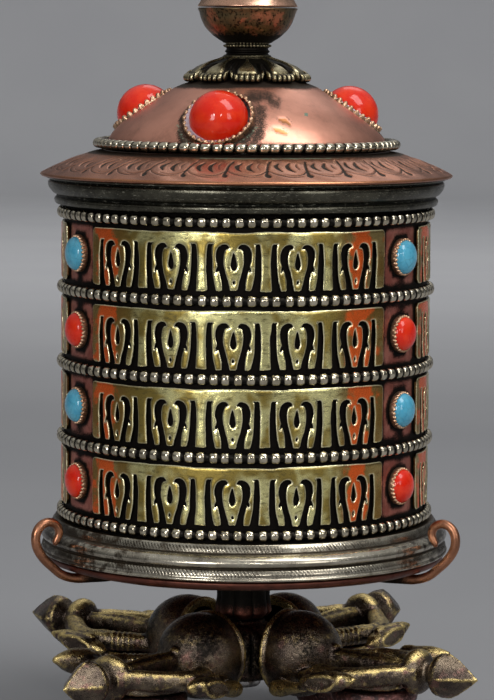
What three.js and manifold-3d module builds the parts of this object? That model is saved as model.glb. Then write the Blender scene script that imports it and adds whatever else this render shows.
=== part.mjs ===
// A table-top prayer wheel: a copper drum dressed with pierced brass bands, beaded wires and
// cabochons, spinning on a fixed axle above a double-vajra stand. The domed lid pulls off the
// drum so that the rolled prayer can be taken out.
// Millimetres, +Z up. The origin is on the axle, at the height of the table the feet stand on.
// Azimuths are degrees from the front (-Y), growing towards the right (+X).
import * as THREE from 'three';
import { mergeVertices } from 'three/addons/utils/BufferGeometryUtils.js';
import Module from 'manifold-3d';

const wasm = await Module();
wasm.setup();

// ---------------------------------------------------------------- driving dimensions
const GAP = 0.3;              // solder or push-fit gap between pieces that touch
const RUN_GAP = 0.25;         // radial running clearance around the axle
const RING_SIDES = 32;        // sides of the drum's rings
const SMALL_SIDES = 18;       // sides of the small turned pieces

const AXLE_R = 3;             // steel rod through the whole wheel
const AXLE_TIP_Z = 171.6;     // its pointed top, under the lid
const HUB_TOP_Z = 31.6;       // boss that the drum's bush turns on

const DRUM_R = 48;            // outside of the copper shell
const SHEET = 1;              // thickness of the copper shell
const PLATE_Z = 48;           // underside of the bottom plate
const PLATE_TOP_Z = 50.2;
const DRUM_TOP_Z = 150.4;

const ROWS = 4;               // rows of pierced bands
const WIRE_Z = 61.5;          // lowest beaded wire
const ROW_PITCH = 19.85;      // from one beaded wire to the next
const BEAD_R = 50.2;          // outside of the beaded wires
const BAND_HEIGHT = 15.1;
const BAND_R = 49.05;         // outside of the brass bands
const BAND_ARC = 100;         // degrees that one band spans
const PANELS = 3;             // bands, and stone columns, around the drum
const PANEL_AZ = -3.5;        // azimuth of the front bands' middle

const STONE_R = 4.1;          // drum cabochons
const STONE_RISE = 3;
const BEZEL_RISE = 1.8;

const DOME_STONE_R = 7.4;     // lid cabochons are balls set deep in their bezels
const DOME_STONE_AZ = [-15, 93, 177, 261];
const DOME_STONE_AT = [26.7, 167.0];   // radius and height of a ball's centre
const DOME_STONE_TILT = 35;            // lean of its setting from the vertical, degrees
const DOME_STONE_SINK = 1.6;           // how far the ball's centre lies under the dome

const ARM_Z = 24;             // centre plane of the vajra arms
const ARM_TIP = 75;           // from the axle to an arm's point
const STAND_TURN = 8.2;       // how far the cross is turned from the diagonals, degrees
const BOWL_R = 11.5;
const BOWL_AT = 19;           // from the axle to a bowl's centre
const BOWL_RIM = 5;           // from the bowl's centre back to its rim, towards the axle
const BOWL_WALL = 1.6;
const FOOT_AT = 43;           // from the axle to a foot's centre
const FOOT_R = 11.5;
const FOOT_TOP_Z = 18.5;

const radians = THREE.MathUtils.degToRad;

// ---------------------------------------------------------------- solids
// A closed three.js geometry as a solid, whichever way its faces were wound.
function solid(geometry) {
  let bare = geometry.clone();
  bare.deleteAttribute('normal');
  bare.deleteAttribute('uv');
  bare = mergeVertices(bare, 1e-4);
  const vertProperties = new Float32Array(bare.attributes.position.array);
  const triVerts = new Uint32Array(bare.index.array);
  if (signedVolume(vertProperties, triVerts) < 0) {
    for (let i = 0; i < triVerts.length; i += 3) {
      [triVerts[i], triVerts[i + 1]] = [triVerts[i + 1], triVerts[i]];
    }
  }
  return new wasm.Manifold(new wasm.Mesh({ numProp: 3, vertProperties, triVerts }));
}

function signedVolume(xyz, triangles) {
  const [a, b, c] = [new THREE.Vector3(), new THREE.Vector3(), new THREE.Vector3()];
  let volume = 0;
  for (let i = 0; i < triangles.length; i += 3) {
    a.fromArray(xyz, triangles[i] * 3);
    b.fromArray(xyz, triangles[i + 1] * 3);
    c.fromArray(xyz, triangles[i + 2] * 3);
    volume += a.dot(b.cross(c)) / 6;
  }
  return volume;
}

function geometryOf(manifold) {
  const { vertProperties, triVerts, numProp } = manifold.getMesh();
  const xyz = new Float32Array((vertProperties.length / numProp) * 3);
  for (let i = 0; i < xyz.length / 3; i += 1) {
    for (let k = 0; k < 3; k += 1) xyz[i * 3 + k] = vertProperties[i * numProp + k];
  }
  const geometry = new THREE.BufferGeometry();
  geometry.setAttribute('position', new THREE.BufferAttribute(xyz, 3));
  geometry.setIndex(new THREE.BufferAttribute(new Uint32Array(triVerts), 1));
  geometry.computeVertexNormals();
  return geometry;
}

function join(...geometries) {
  return geometryOf(geometries.map(solid).reduce((whole, piece) => whole.add(piece)));
}

// A turned piece about Z. Each point of the profile is [radius, height].
function turned(profile, sides = SMALL_SIDES) {
  const closed = profile[0][0] > 0 ? [...profile, profile[0]] : profile;
  const points = closed.map(([r, z]) => new THREE.Vector2(r, z));
  return geometryOf(solid(new THREE.LatheGeometry(points, sides).rotateX(Math.PI / 2)));
}

function tube(radius, curve, steps, sides = 8) {
  const section = new THREE.Shape();
  for (let i = 0; i < sides; i += 1) {
    const turn = (i / sides) * 2 * Math.PI;
    const corner = [radius * Math.cos(turn), radius * Math.sin(turn)];
    if (i === 0) section.moveTo(...corner);
    else section.lineTo(...corner);
  }
  return new THREE.ExtrudeGeometry(section, { steps, extrudePath: curve, bevelEnabled: false });
}

const route = (points) => new THREE.CatmullRomCurve3(points.map((p) => new THREE.Vector3(...p)));

function block(x0, x1, y0, y1, z0, z1) {
  return new THREE.BoxGeometry(x1 - x0, y1 - y0, z1 - z0)
    .translate((x0 + x1) / 2, (y0 + y1) / 2, (z0 + z1) / 2);
}

// Points of an arc in a turned profile: [radius, height] about a centre on the axis.
function arc(radius, height, from, to, steps) {
  const points = [];
  for (let i = 0; i <= steps; i += 1) {
    const turn = radians(from + ((to - from) * i) / steps);
    points.push([Math.max(0, radius * Math.cos(turn)), height + radius * Math.sin(turn)]);
  }
  return points;
}

// ---------------------------------------------------------------- materials and nodes
const finish = (color, roughness, metalness) => () =>
  new THREE.MeshStandardMaterial({ color, roughness, metalness });
const copper = finish(0xa8674f, 0.42, 1);
const darkCopper = finish(0x5c3a30, 0.5, 1);
const brass = finish(0xa8924a, 0.36, 1);
const agedBrass = finish(0x5f533a, 0.5, 1);
const silver = finish(0xb5ac98, 0.32, 1);
const pewter = finish(0x35342e, 0.45, 1);
const steel = finish(0x7c7a76, 0.4, 1);
const turquoise = finish(0x4ca0c4, 0.25, 0);
const coral = finish(0xd4331c, 0.2, 0);
const wood = finish(0x8a6238, 0.7, 0);
const paper = finish(0xd9c9a0, 0.9, 0);

const wheel = new THREE.Group();
const stand = new THREE.Group();
const drum = new THREE.Group();
const lid = new THREE.Group();
wheel.add(stand, drum, lid);

function add(parent, name, geometry, material) {
  const mesh = new THREE.Mesh(geometry, material());
  mesh.name = name;
  parent.add(mesh);
  return mesh;
}

const atAzimuth = (mesh, azimuth) => {
  mesh.rotation.z = radians(azimuth);
  return mesh;
};

// ---------------------------------------------------------------- stand
// A foot is a turned copper stub: flange under the arm, waist, bulge and a flat sole.
const footProfile = [
  [0, 0], [8.6, 0], [10.6, 2.2], [FOOT_R, 6.5], [10.4, 11], [9.2, 13.2],
  [FOOT_R - 0.6, 15], [FOOT_R, 16.6], [FOOT_R - 0.8, FOOT_TOP_Z], [0, FOOT_TOP_Z],
];

// One arm, pointing along +X: a bowl open towards the axle, a ribbed middle prong with its
// collar and four-sided point, two side prongs that end in thorns, and a pad over the foot.
function vajraArm() {
  const bowlAxis = (geometry) => geometry.rotateY(Math.PI / 2).translate(BOWL_AT, 0, ARM_Z);
  const inner = BOWL_R - BOWL_WALL;
  const rimAngle = (radius) => -THREE.MathUtils.radToDeg(Math.asin(BOWL_RIM / radius));
  const bowl = bowlAxis(turned([
    ...arc(inner, 0, 90, rimAngle(inner), 3),
    ...arc(BOWL_R, 0, rimAngle(BOWL_R), 90, 3),
  ], 12));
  const tongue = block(10.2, 17, -4, 4, ARM_Z - 11, ARM_Z - 6.5);
  const prong = block(29, 64, -2.6, 2.6, ARM_Z - 3, ARM_Z + 3);
  const collar = new THREE.CylinderGeometry(6, 6, 3.6, 10).rotateZ(Math.PI / 2)
    .translate(58.2, 0, ARM_Z);
  const point = new THREE.ConeGeometry(7.2, 12.5, 4).rotateY(Math.PI / 4)
    .rotateZ(-Math.PI / 2).translate(ARM_TIP - 6.25, 0, ARM_Z);
  const pad = block(33, 52, -9, 9, FOOT_TOP_Z + GAP, ARM_Z - 2);
  const pieces = [bowl, tongue, prong, collar, point, pad];
  for (const side of [-1, 1]) {
    const bend = route([[22, 8 * side, 18], [32, 12 * side, 20.5], [44, 11.5 * side, 22],
      [57, 3.5 * side, 23.5]]);
    const thorn = new THREE.ConeGeometry(3, 13, 5).rotateZ(-Math.PI / 2)
      .rotateZ(radians(40 * side)).translate(50, 15.5 * side, 22);
    pieces.push(tube(2.6, bend, 5, 5), thorn);
  }
  return join(...pieces);
}

const armNames = [['front_right', -45], ['front_left', -135], ['back_left', 135], ['back_right', 45]];
const arm = vajraArm();
for (const [corner, diagonal] of armNames) {
  const turn = radians(diagonal + STAND_TURN);
  const foot = add(stand, `foot_${corner}`, turned(footProfile, 12), darkCopper);
  foot.position.set(FOOT_AT * Math.cos(turn), FOOT_AT * Math.sin(turn), 0);
  add(stand, `vajra_arm_${corner}`, arm, agedBrass).rotation.z = turn;
}

add(stand, 'vajra_hub', turned([
  [AXLE_R + GAP, 15.5], [8.4, 15.5], [9.8, 18], [9.8, 26.5], [7.8, 29.4], [5.6, HUB_TOP_Z],
  [AXLE_R + GAP, HUB_TOP_Z],
]), agedBrass);

// The rod is peened over under the hub, runs up through the drum and ends in a point.
add(stand, 'axle_rod', turned([
  [0, 13], [4.4, 13], [4.8, 14], [4.8, 15.2], [AXLE_R, 15.2], [AXLE_R, AXLE_TIP_Z - 4.6],
  [0.6, AXLE_TIP_Z], [0, AXLE_TIP_Z],
], 16), steel);

// ---------------------------------------------------------------- drum
const BUSH_NECK_R = 5;        // part of the bush inside the bottom plate
const SHELL_Z = PLATE_TOP_Z + GAP;

add(drum, 'bottom_plate', turned([
  [BUSH_NECK_R + GAP, PLATE_Z], [51.6, PLATE_Z], [53.1, PLATE_Z + 0.9], [53.5, PLATE_TOP_Z],
  [BUSH_NECK_R + GAP, PLATE_TOP_Z],
], RING_SIDES), darkCopper);

add(drum, 'lower_bush', turned([
  [AXLE_R + RUN_GAP, HUB_TOP_Z + GAP], [7, HUB_TOP_Z + GAP], [7.8, 33.2], [7.8, PLATE_Z - GAP],
  [BUSH_NECK_R, PLATE_Z - GAP], [BUSH_NECK_R, PLATE_TOP_Z + 2.3],
  [AXLE_R + RUN_GAP, PLATE_TOP_Z + 2.3],
]), copper);

// A bezel is a short collar standing on the sheet around one stone. It is made along +Z.
const drumBezel = () => turned([
  [STONE_R + 0.3, 47.2], [STONE_R + 0.9, 47.2], [STONE_R + 0.9, DRUM_R + BEZEL_RISE],
  [STONE_R + 0.3, DRUM_R + BEZEL_RISE],
], 8);
const rowZ = (row) => WIRE_Z + ROW_PITCH * (row + 0.5);
const columnAz = (column) => PANEL_AZ + 360 * ((column + 0.5) / PANELS);
const outwards = (geometry, azimuth, z) =>
  geometry.rotateX(Math.PI / 2).rotateZ(radians(azimuth)).translate(0, 0, z);

const shell = turned([
  [DRUM_R - SHEET, SHELL_Z], [DRUM_R, SHELL_Z], [DRUM_R, DRUM_TOP_Z], [DRUM_R - SHEET, DRUM_TOP_Z],
], RING_SIDES);
const bezels = [];
for (let row = 0; row < ROWS; row += 1) {
  for (let column = 0; column < PANELS; column += 1) {
    bezels.push(outwards(drumBezel(), columnAz(column), rowZ(row)));
  }
}
add(drum, 'drum_shell', join(shell, ...bezels), copper);

add(drum, 'base_moulding', turned([
  [DRUM_R + GAP, SHELL_Z], [54, SHELL_Z], [54.4, 51.4], [53.9, 53], [53.3, 53.8], [54.4, 55.2],
  [53.6, 56.5], [51.8, 57.3], [50.6, 59.6], [DRUM_R + GAP, 59.6],
], RING_SIDES), silver);

add(drum, 'top_moulding', turned([
  [DRUM_R + GAP, 143], [50.3, 143], [51, 145.2], [52.2, 146.6], [52.8, 148.4], [53, DRUM_TOP_Z],
  [DRUM_R + GAP, DRUM_TOP_Z],
], RING_SIDES), pewter);

const wireProfile = (rIn, rOut, z, half) => {
  const shoulder = rOut - 0.6;
  return [[rIn, z - half], [shoulder, z - half], [rOut, z], [shoulder, z + half], [rIn, z + half]];
};
for (let i = 0; i <= ROWS; i += 1) {
  const z = WIRE_Z + ROW_PITCH * i;
  const wire = turned(wireProfile(DRUM_R + GAP, BEAD_R, z, 1.5), RING_SIDES);
  add(drum, `beaded_wire_${i + 1}`, wire, silver);
}

// A band is one curved strip of pierced brass, soldered on between two stone columns.
function bandGeometry() {
  const half = radians(BAND_ARC / 2);
  const outline = new THREE.Shape();
  outline.absarc(0, 0, BAND_R, -Math.PI / 2 - half, -Math.PI / 2 + half, false);
  outline.absarc(0, 0, DRUM_R + GAP, -Math.PI / 2 + half, -Math.PI / 2 - half, true);
  return new THREE.ExtrudeGeometry(outline, {
    depth: BAND_HEIGHT, bevelEnabled: false, curveSegments: 5,
  });
}
// A drum stone is a flat-backed cabochon, made along +Z from its own back.
const drumStone = () => turned([
  [0, DRUM_R + 0.4], [STONE_R, DRUM_R + 0.4], [STONE_R * 0.94, DRUM_R + 1.6],
  [STONE_R * 0.6, DRUM_R + STONE_RISE - 0.4], [0, DRUM_R + STONE_RISE],
], 10);
const panelNames = ['front', 'right', 'left'];
const columnNames = ['right', 'back', 'left'];
for (let row = 0; row < ROWS; row += 1) {
  for (let k = 0; k < PANELS; k += 1) {
    const band = add(drum, `ornament_band_${panelNames[k]}_${row + 1}`, bandGeometry(), brass);
    band.position.z = rowZ(row) - BAND_HEIGHT / 2;
    atAzimuth(band, PANEL_AZ + (360 * k) / PANELS);
    const kind = row % 2 ? turquoise : coral;
    const stone = add(drum, `drum_stone_${columnNames[k]}_${row + 1}`,
      drumStone().rotateX(Math.PI / 2), kind);
    stone.position.z = rowZ(row);
    atAzimuth(stone, columnAz(k));
  }
}

// A spin hook lies in a plane through the axle: a flat leaf soldered under the bottom plate
// runs on as round wire, out past the mouldings and up into an open curl.
const HOOK_WIRE_R = 1.2;
const HOOKS = [['left', -59, 0], ['right', 61, 0], ['back', 181, -1.3]];
function spinHook(reach) {
  const leafZ = PLATE_Z - GAP - 1.6;
  const leaf = new THREE.Shape();
  leaf.moveTo(28, 0);
  leaf.quadraticCurveTo(38, 3.4, 50, 1.1);
  leaf.lineTo(50, -1.1);
  leaf.quadraticCurveTo(38, -3.4, 28, 0);
  const blade = new THREE.ExtrudeGeometry(leaf, { depth: 1.6, bevelEnabled: false, curveSegments: 4 })
    .translate(0, 0, leafZ);
  const curl = route([
    [47, 0, 46.4], [51, 0, 46.4], [54.8, 0, 47.6], [57.8 + reach, 0, 49.9],
    [60.6 + reach, 0, 52.6], [62.4 + reach, 0, 55.6], [62.6 + reach, 0, 58.6],
    [61.2 + reach, 0, 61], [58.8 + reach, 0, 61.8], [56.6 + reach, 0, 60.7],
    [55.9 + reach, 0, 58.6], [57 + reach, 0, 56.2],
  ]);
  return join(blade, tube(HOOK_WIRE_R, curl, 18, 6)).rotateZ(-Math.PI / 2);
}
for (const [side, azimuth, reach] of HOOKS) {
  atAzimuth(add(drum, `spin_hook_${side}`, spinHook(reach), copper), azimuth);
}

// Inside: the core that the prayer is wound on turns with the drum, clear of the axle.
const CORE_R = 5.5;
add(drum, 'scroll_core', turned([
  [AXLE_R + 0.7, PLATE_TOP_Z + 2.6], [CORE_R, PLATE_TOP_Z + 2.6], [CORE_R, 146],
  [AXLE_R + 0.7, 146],
]), wood);
add(drum, 'prayer_scroll', turned([
  [CORE_R + GAP, SHELL_Z], [44.5, SHELL_Z], [44.5, 142.5], [CORE_R + GAP, 142.5],
], 24), paper);

// ---------------------------------------------------------------- lid
const COLLAR_R = DRUM_R - SHEET - 0.4;   // push-fit collar inside the drum's mouth
add(lid, 'lid_brim', turned([
  [37.6, 156.5], [40.8, 155.95], [COLLAR_R - 1, 154.1], [COLLAR_R - 1, 144], [COLLAR_R, 144],
  [COLLAR_R, 153.7], [51.3, 151.75], [54.5, 150.2], [54.7, 150.95], [51.4, 152.6],
  [46.4, 154.7], [40.85, 156.8], [37.6, 157.3],
], RING_SIDES), copper);

add(lid, 'lid_beaded_wire', turned(wireProfile(37.9, 40.8, 159, 1.3), RING_SIDES), silver);

const domeOutside = [
  [37.3, 157.7], [36.6, 160.2], [34.2, 163.4], [30.5, 166.7], [26.6, 169.4], [19.9, 173.3],
  [16, 175], [10, 176.9], [0, 178],
];
const domeInside = [
  [0, 177], [10, 175.9], [19.4, 172.4], [26, 168.6], [33.4, 162.9], [36.3, 157.7],
];
// A lid setting leans outwards on the dome's slope.
const onDome = (geometry, azimuth) => geometry
  .rotateX(radians(DOME_STONE_TILT)).translate(0, -DOME_STONE_AT[0], DOME_STONE_AT[1])
  .rotateZ(radians(azimuth));
const domeBezel = () => turned([
  [8.1, DOME_STONE_SINK - 1.8], [9, DOME_STONE_SINK - 1.8], [9, DOME_STONE_SINK + BEZEL_RISE],
  [8.1, DOME_STONE_SINK + BEZEL_RISE],
], 10);
const domeStone = () => {
  const base = DOME_STONE_SINK + 0.5;
  const baseAngle = THREE.MathUtils.radToDeg(Math.asin(base / DOME_STONE_R));
  return turned([[0, base], ...arc(DOME_STONE_R, 0, baseAngle, 90, 3)], 14);
};
add(lid, 'lid_dome', join(
  turned([...domeInside, ...domeOutside], 24),
  ...DOME_STONE_AZ.map((azimuth) => onDome(domeBezel(), azimuth)),
), copper);
for (const [i, side] of ['front', 'right', 'back', 'left'].entries()) {
  const stone = add(lid, `lid_stone_${side}`, onDome(domeStone(), 0), coral);
  atAzimuth(stone, DOME_STONE_AZ[i]);
}

// Cup under the dome's crown that turns on the axle's point.
add(lid, 'top_bearing', turned([
  [0, AXLE_TIP_Z + 1.2], [AXLE_R + GAP, AXLE_TIP_Z - 2.1], [AXLE_R + GAP, 165], [6, 165],
  [6, 175.9], [0, 175.9],
], 16), brass);

// Finial: a lotus collar with its neck, a lower bowl and an upper cap ending in a bud.
add(lid, 'finial_lotus', turned([
  [0, 178.3], [10, 177.2], [16.4, 175.2], [16.9, 176.3], [13.6, 178.9], [7.7, 181], [6.2, 181.6],
  [6.2, 185.2], [0, 185.2],
]), agedBrass);
add(lid, 'finial_lower_bowl', turned([
  [0, 185.5], [6.4, 185.5], [8.9, 187.3], [11, 189.4], [12, 191.5], [13.2, 194.7], [0, 194.7],
]), darkCopper);
add(lid, 'finial_cap', turned([
  [0, 195], [13.2, 195], [12.3, 196.8], [11.4, 199.4], [9.2, 202.2], [6, 204.2], [3.6, 205.2],
  [3.2, 206.2], [4.4, 207.6], [4.7, 209.4], [3.5, 212], [1.2, 214.6], [0, 215],
]), copper);

export default wheel;
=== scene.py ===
"""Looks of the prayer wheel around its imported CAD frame.

Shapes are worked out in millimetres with the origin on the axle at table height, +Z up. Azimuths run from
the front (-Y) towards the right (+X), so a point is (r sin az, -r cos az, z).
"""

import math

import bpy
import numpy as np
from mathutils import Matrix, Vector


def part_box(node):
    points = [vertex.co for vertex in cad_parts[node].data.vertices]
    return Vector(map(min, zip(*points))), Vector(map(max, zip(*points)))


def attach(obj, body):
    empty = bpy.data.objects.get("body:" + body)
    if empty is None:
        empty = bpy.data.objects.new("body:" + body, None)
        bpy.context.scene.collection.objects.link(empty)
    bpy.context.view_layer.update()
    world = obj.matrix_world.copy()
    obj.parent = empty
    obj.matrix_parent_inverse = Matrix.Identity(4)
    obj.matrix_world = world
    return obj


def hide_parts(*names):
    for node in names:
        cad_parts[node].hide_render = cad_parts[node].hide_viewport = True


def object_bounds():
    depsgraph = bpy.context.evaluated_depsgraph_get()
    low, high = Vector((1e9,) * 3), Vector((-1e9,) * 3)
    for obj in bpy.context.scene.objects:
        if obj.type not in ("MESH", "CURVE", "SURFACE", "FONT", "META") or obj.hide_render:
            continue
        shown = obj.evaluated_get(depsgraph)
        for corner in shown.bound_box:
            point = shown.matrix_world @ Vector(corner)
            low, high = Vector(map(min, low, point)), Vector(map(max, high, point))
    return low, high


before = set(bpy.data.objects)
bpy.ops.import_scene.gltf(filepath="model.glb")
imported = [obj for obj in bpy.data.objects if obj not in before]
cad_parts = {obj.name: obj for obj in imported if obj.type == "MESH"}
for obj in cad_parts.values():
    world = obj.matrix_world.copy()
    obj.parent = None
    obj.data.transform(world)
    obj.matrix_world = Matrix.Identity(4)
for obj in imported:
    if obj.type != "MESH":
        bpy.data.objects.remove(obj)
size_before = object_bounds()

MM = 0.001
TAU = 2 * math.pi
axle_low, axle_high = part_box("axle_rod")
FLOOR = size_before[0].z
ORIGIN = np.array([(axle_low.x + axle_high.x) / 2, (axle_low.y + axle_high.y) / 2, FLOOR])

# ------------------------------------------------------------------ dimensions shared with the frame
DRUM_R = 48.0
DRUM_LOW, DRUM_HIGH = 50.5, 150.4
BAND_R = 49.05
BAND_HEIGHT = 15.1
BAND_ARC = math.radians(100)
PANEL_AZ = -3.5
PANELS = ("front", "right", "left")
COLUMNS = ("right", "back", "left")
WIRE_Z, ROW_PITCH, ROWS = 61.5, 19.85, 4
ARM_AZ = {"front_right": -36.8, "front_left": -126.8, "back_left": 143.2, "back_right": 53.2}
ARM_Z = 24.0
BOWL_AT = 19.0
FOOT_AT = 43.0
# Azimuth of each hook, and how much further out than the rest its curl stands.
HOOKS = {"left": (-59, 0.0), "right": (61, 0.0), "back": (181, -1.3)}
# Lid settings: azimuth, distance from the axis, height and lean of each ball, and the top of its collar.
# The front one sits lower and leans out more.
LID_SETTINGS = {
    "front": (-13.8, 29.8, 165.85, 46, 1.4),
    "right": (93, 27.3, 166.7, 34, 1.7),
    "back": (177, 27.3, 166.7, 34, 1.7),
    "left": (261, 27.3, 166.7, 34, 1.7),
}


def row_z(row):
    """Height of the middle of a row of bands."""
    return WIRE_Z + ROW_PITCH * (row + 0.5)


def column_az(column):
    """Azimuth of a column of drum stones, in degrees."""
    return PANEL_AZ + 360 * (column + 0.5) / len(COLUMNS)


# ------------------------------------------------------------------ numbers
def smooth(x):
    """0 below 0, 1 above 1, and an even slope between."""
    x = np.clip(x, 0, 1)
    return x * x * (3 - 2 * x)


def peak(x, at, width):
    """1 where x is at that value, falling away on both sides over about that width."""
    return np.exp(-((x - at) / width) ** 2)


def hashed(ix, iy, iz, seed):
    """A repeatable number from -1 to 1 for each whole-number cell."""
    n = (ix * 374761393 + iy * 668265263 + iz * 1442695041 + seed * 1274126177) & 0xFFFFFFFF
    n = ((n ^ (n >> 13)) * 1103515245) & 0xFFFFFFFF
    return ((n ^ (n >> 16)) & 0xFFFF) / 32767.5 - 1


def noise(points, period, seed=0, octaves=2):
    """Smooth noise from -1 to 1 at points (n, 3), with features about one period across."""
    total, weight, amplitude = 0, 0, 1.0
    for octave in range(octaves):
        p = np.asarray(points) / period * 2**octave + 17.3 * octave
        cell = np.floor(p).astype(np.int64)
        f = p - cell
        f = f * f * (3 - 2 * f)
        value = 0
        for dx in (0, 1):
            for dy in (0, 1):
                for dz in (0, 1):
                    w = (f[:, 0] if dx else 1 - f[:, 0]) * (f[:, 1] if dy else 1 - f[:, 1])
                    w = w * (f[:, 2] if dz else 1 - f[:, 2])
                    x, y, z = cell[:, 0] + dx, cell[:, 1] + dy, cell[:, 2] + dz
                    value = value + w * hashed(x, y, z, seed + octave)
        total, weight = total + amplitude * value, weight + amplitude
        amplitude *= 0.5
    return total / weight


def around(az, r, z):
    """Points (n, 3) from grids of azimuth, radius and height."""
    return np.stack([r * np.sin(az), -r * np.cos(az), z], -1).reshape(-1, 3)


def grain_over(az, r, z):
    """Noise over a grid of places: the result takes a period, a seed and a number of octaves."""
    points = around(az, r, z)
    return lambda period, seed, octaves=2: noise(points, period, seed, octaves).reshape(r.shape)


def spline(points, steps):
    """Catmull-Rom curve through points of any dimension."""
    p = np.array(points, float)
    p = np.vstack([2 * p[0] - p[1], p, 2 * p[-1] - p[-2]])
    out = []
    for i in range(1, len(p) - 2):
        for t in np.arange(steps) / steps:
            out.append(0.5 * (2 * p[i] + (p[i + 1] - p[i - 1]) * t
                              + (2 * p[i - 1] - 5 * p[i] + 4 * p[i + 1] - p[i + 2]) * t * t
                              + (3 * p[i] - 3 * p[i + 1] + p[i + 2] - p[i - 1]) * t**3))
    return np.array(out + [p[-2]])


def softened(points, radius=0.3, steps=3, closed=True):
    """A profile with its corners rounded."""
    p = np.array(points, float)
    n, out = len(p), []
    for i in range(n):
        if not closed and i in (0, n - 1):
            out.append(p[i])
            continue
        a, b, c = p[i - 1], p[i], p[(i + 1) % n]
        la, lc = np.linalg.norm(a - b), np.linalg.norm(c - b)
        d = min(radius, 0.45 * la, 0.45 * lc)
        s, e = b + (a - b) / la * d, b + (c - b) / lc * d
        for t in np.arange(steps + 1) / steps:
            out.append((1 - t) ** 2 * s + 2 * t * (1 - t) * b + t * t * e)
    return np.array(out)


def dense(points, step, closed=True):
    """The same line with no piece longer than step."""
    p = list(points)
    ends = p[1:] + ([p[0]] if closed else [])
    out = []
    for a, b in zip(p, ends):
        n = max(1, math.ceil(np.linalg.norm(np.subtract(b, a)) / step))
        out += [a + (b - a) * i / n for i in range(n)]
    return np.array(out if closed else out + [p[-1]])


def turned_profile(points, radius, steps, step, closed=True):
    """A profile with rounded corners and no piece longer than step, ready to revolve."""
    return dense(softened(points, radius, steps, closed), step, closed)


def stroke(x, y, line):
    """Signed distance, negative inside, to a tapering stroke. Each point of the line is x, y, half width."""
    best = np.full(np.shape(x), 1e3)
    for (ax, ay, ra), (bx, by, rb) in zip(line[:-1], line[1:]):
        dx, dy = bx - ax, by - ay
        t = np.clip(((x - ax) * dx + (y - ay) * dy) / (dx * dx + dy * dy + 1e-12), 0, 1)
        best = np.minimum(best, np.hypot(x - ax - t * dx, y - ay - t * dy) - (ra + t * (rb - ra)))
    return best


def curved(line):
    """A stroke's points run through a spline, where there are enough of them to bend."""
    return spline(line, 5) if len(line) > 2 else np.array(line)


# ------------------------------------------------------------------ shapes
class Shape:
    """Points in mm, faces as index arrays of one width each, and named numbers per point."""

    def __init__(self, points, faces, **marks):
        self.points, self.faces, self.marks = np.asarray(points, float), faces, marks

    def __add__(self, other):
        n = len(self.points)
        marks = {}
        for key in set(self.marks) | set(other.marks):
            marks[key] = np.concatenate([s.marks.get(key, np.zeros(len(s.points))) for s in (self, other)])
        return Shape(np.vstack([self.points, other.points]),
                     self.faces + [f + n for f in other.faces], **marks)

    def moved(self, matrix):
        m = np.array(matrix, float)
        return Shape(self.points @ m[:3, :3].T + m[:3, 3], self.faces, **self.marks)

    def outward(self):
        """The same closed surface with its faces turned outwards."""
        volume = 0
        for f in self.faces:
            p = self.points[f]
            for k in range(1, f.shape[1] - 1):
                volume += np.einsum("ij,ij->i", p[:, 0], np.cross(p[:, k], p[:, k + 1])).sum()
        if volume < 0:
            self.faces = [f[:, ::-1] for f in self.faces]
        return self


def grid_faces(rows, columns, wrap_rows, wrap_columns):
    """Four-sided faces over a grid of points, joined end to end in the directions that wrap."""
    i, j = np.meshgrid(np.arange(rows if wrap_rows else rows - 1),
                       np.arange(columns if wrap_columns else columns - 1), indexing="ij")
    i, j = i.ravel(), j.ravel()
    k, m = (i + 1) % rows, (j + 1) % columns
    return np.stack([i * columns + j, k * columns + j, k * columns + m, i * columns + m], 1)


def revolve(profile, sides, form=None):
    """A turned shape about Z. form(az, r, z) may change r and z and name marks over the whole grid."""
    profile = np.array(profile, float)
    poles = profile[0, 0] < 1e-6 and profile[-1, 0] < 1e-6
    body = profile[1:-1] if poles else profile
    az, r = np.meshgrid(np.arange(sides) * TAU / sides, body[:, 0], indexing="ij")
    z = np.tile(body[:, 1], (sides, 1))
    marks = {}
    if form:
        r, z, *named = form(az, r, z)
        marks = {k: np.broadcast_to(v, r.shape).ravel() for k, v in (named[0] if named else {}).items()}
    points = around(az, r, z)
    columns = len(body)
    faces = [grid_faces(sides, columns, True, not poles)]
    if poles:
        first, last = len(points), len(points) + 1
        points = np.vstack([points, [0, 0, profile[0, 1]], [0, 0, profile[-1, 1]]])
        i = np.arange(sides)
        k = (i + 1) % sides
        top = columns - 1
        faces.append(np.stack([np.full(sides, first), k * columns, i * columns], 1))
        faces.append(np.stack([np.full(sides, last), i * columns + top, k * columns + top], 1))
        for key, value in marks.items():
            grid = value.reshape(sides, columns)
            marks[key] = np.append(value, [grid[:, 0].mean(), grid[:, -1].mean()])
    return Shape(points, faces, **marks).outward()


def tube(rings, first, last):
    """A closed surface through rings of points (n, sides, 3), with one point at each end."""
    n, sides = rings.shape[:2]
    j = np.arange(sides)
    k = (j + 1) % sides
    faces = [grid_faces(n, sides, False, True),
             np.stack([np.full(sides, n * sides), j, k], 1),
             np.stack([np.full(sides, n * sides + 1), (n - 1) * sides + k, (n - 1) * sides + j], 1)]
    return Shape(np.vstack([rings.reshape(-1, 3), first, last]), faces).outward()


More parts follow.
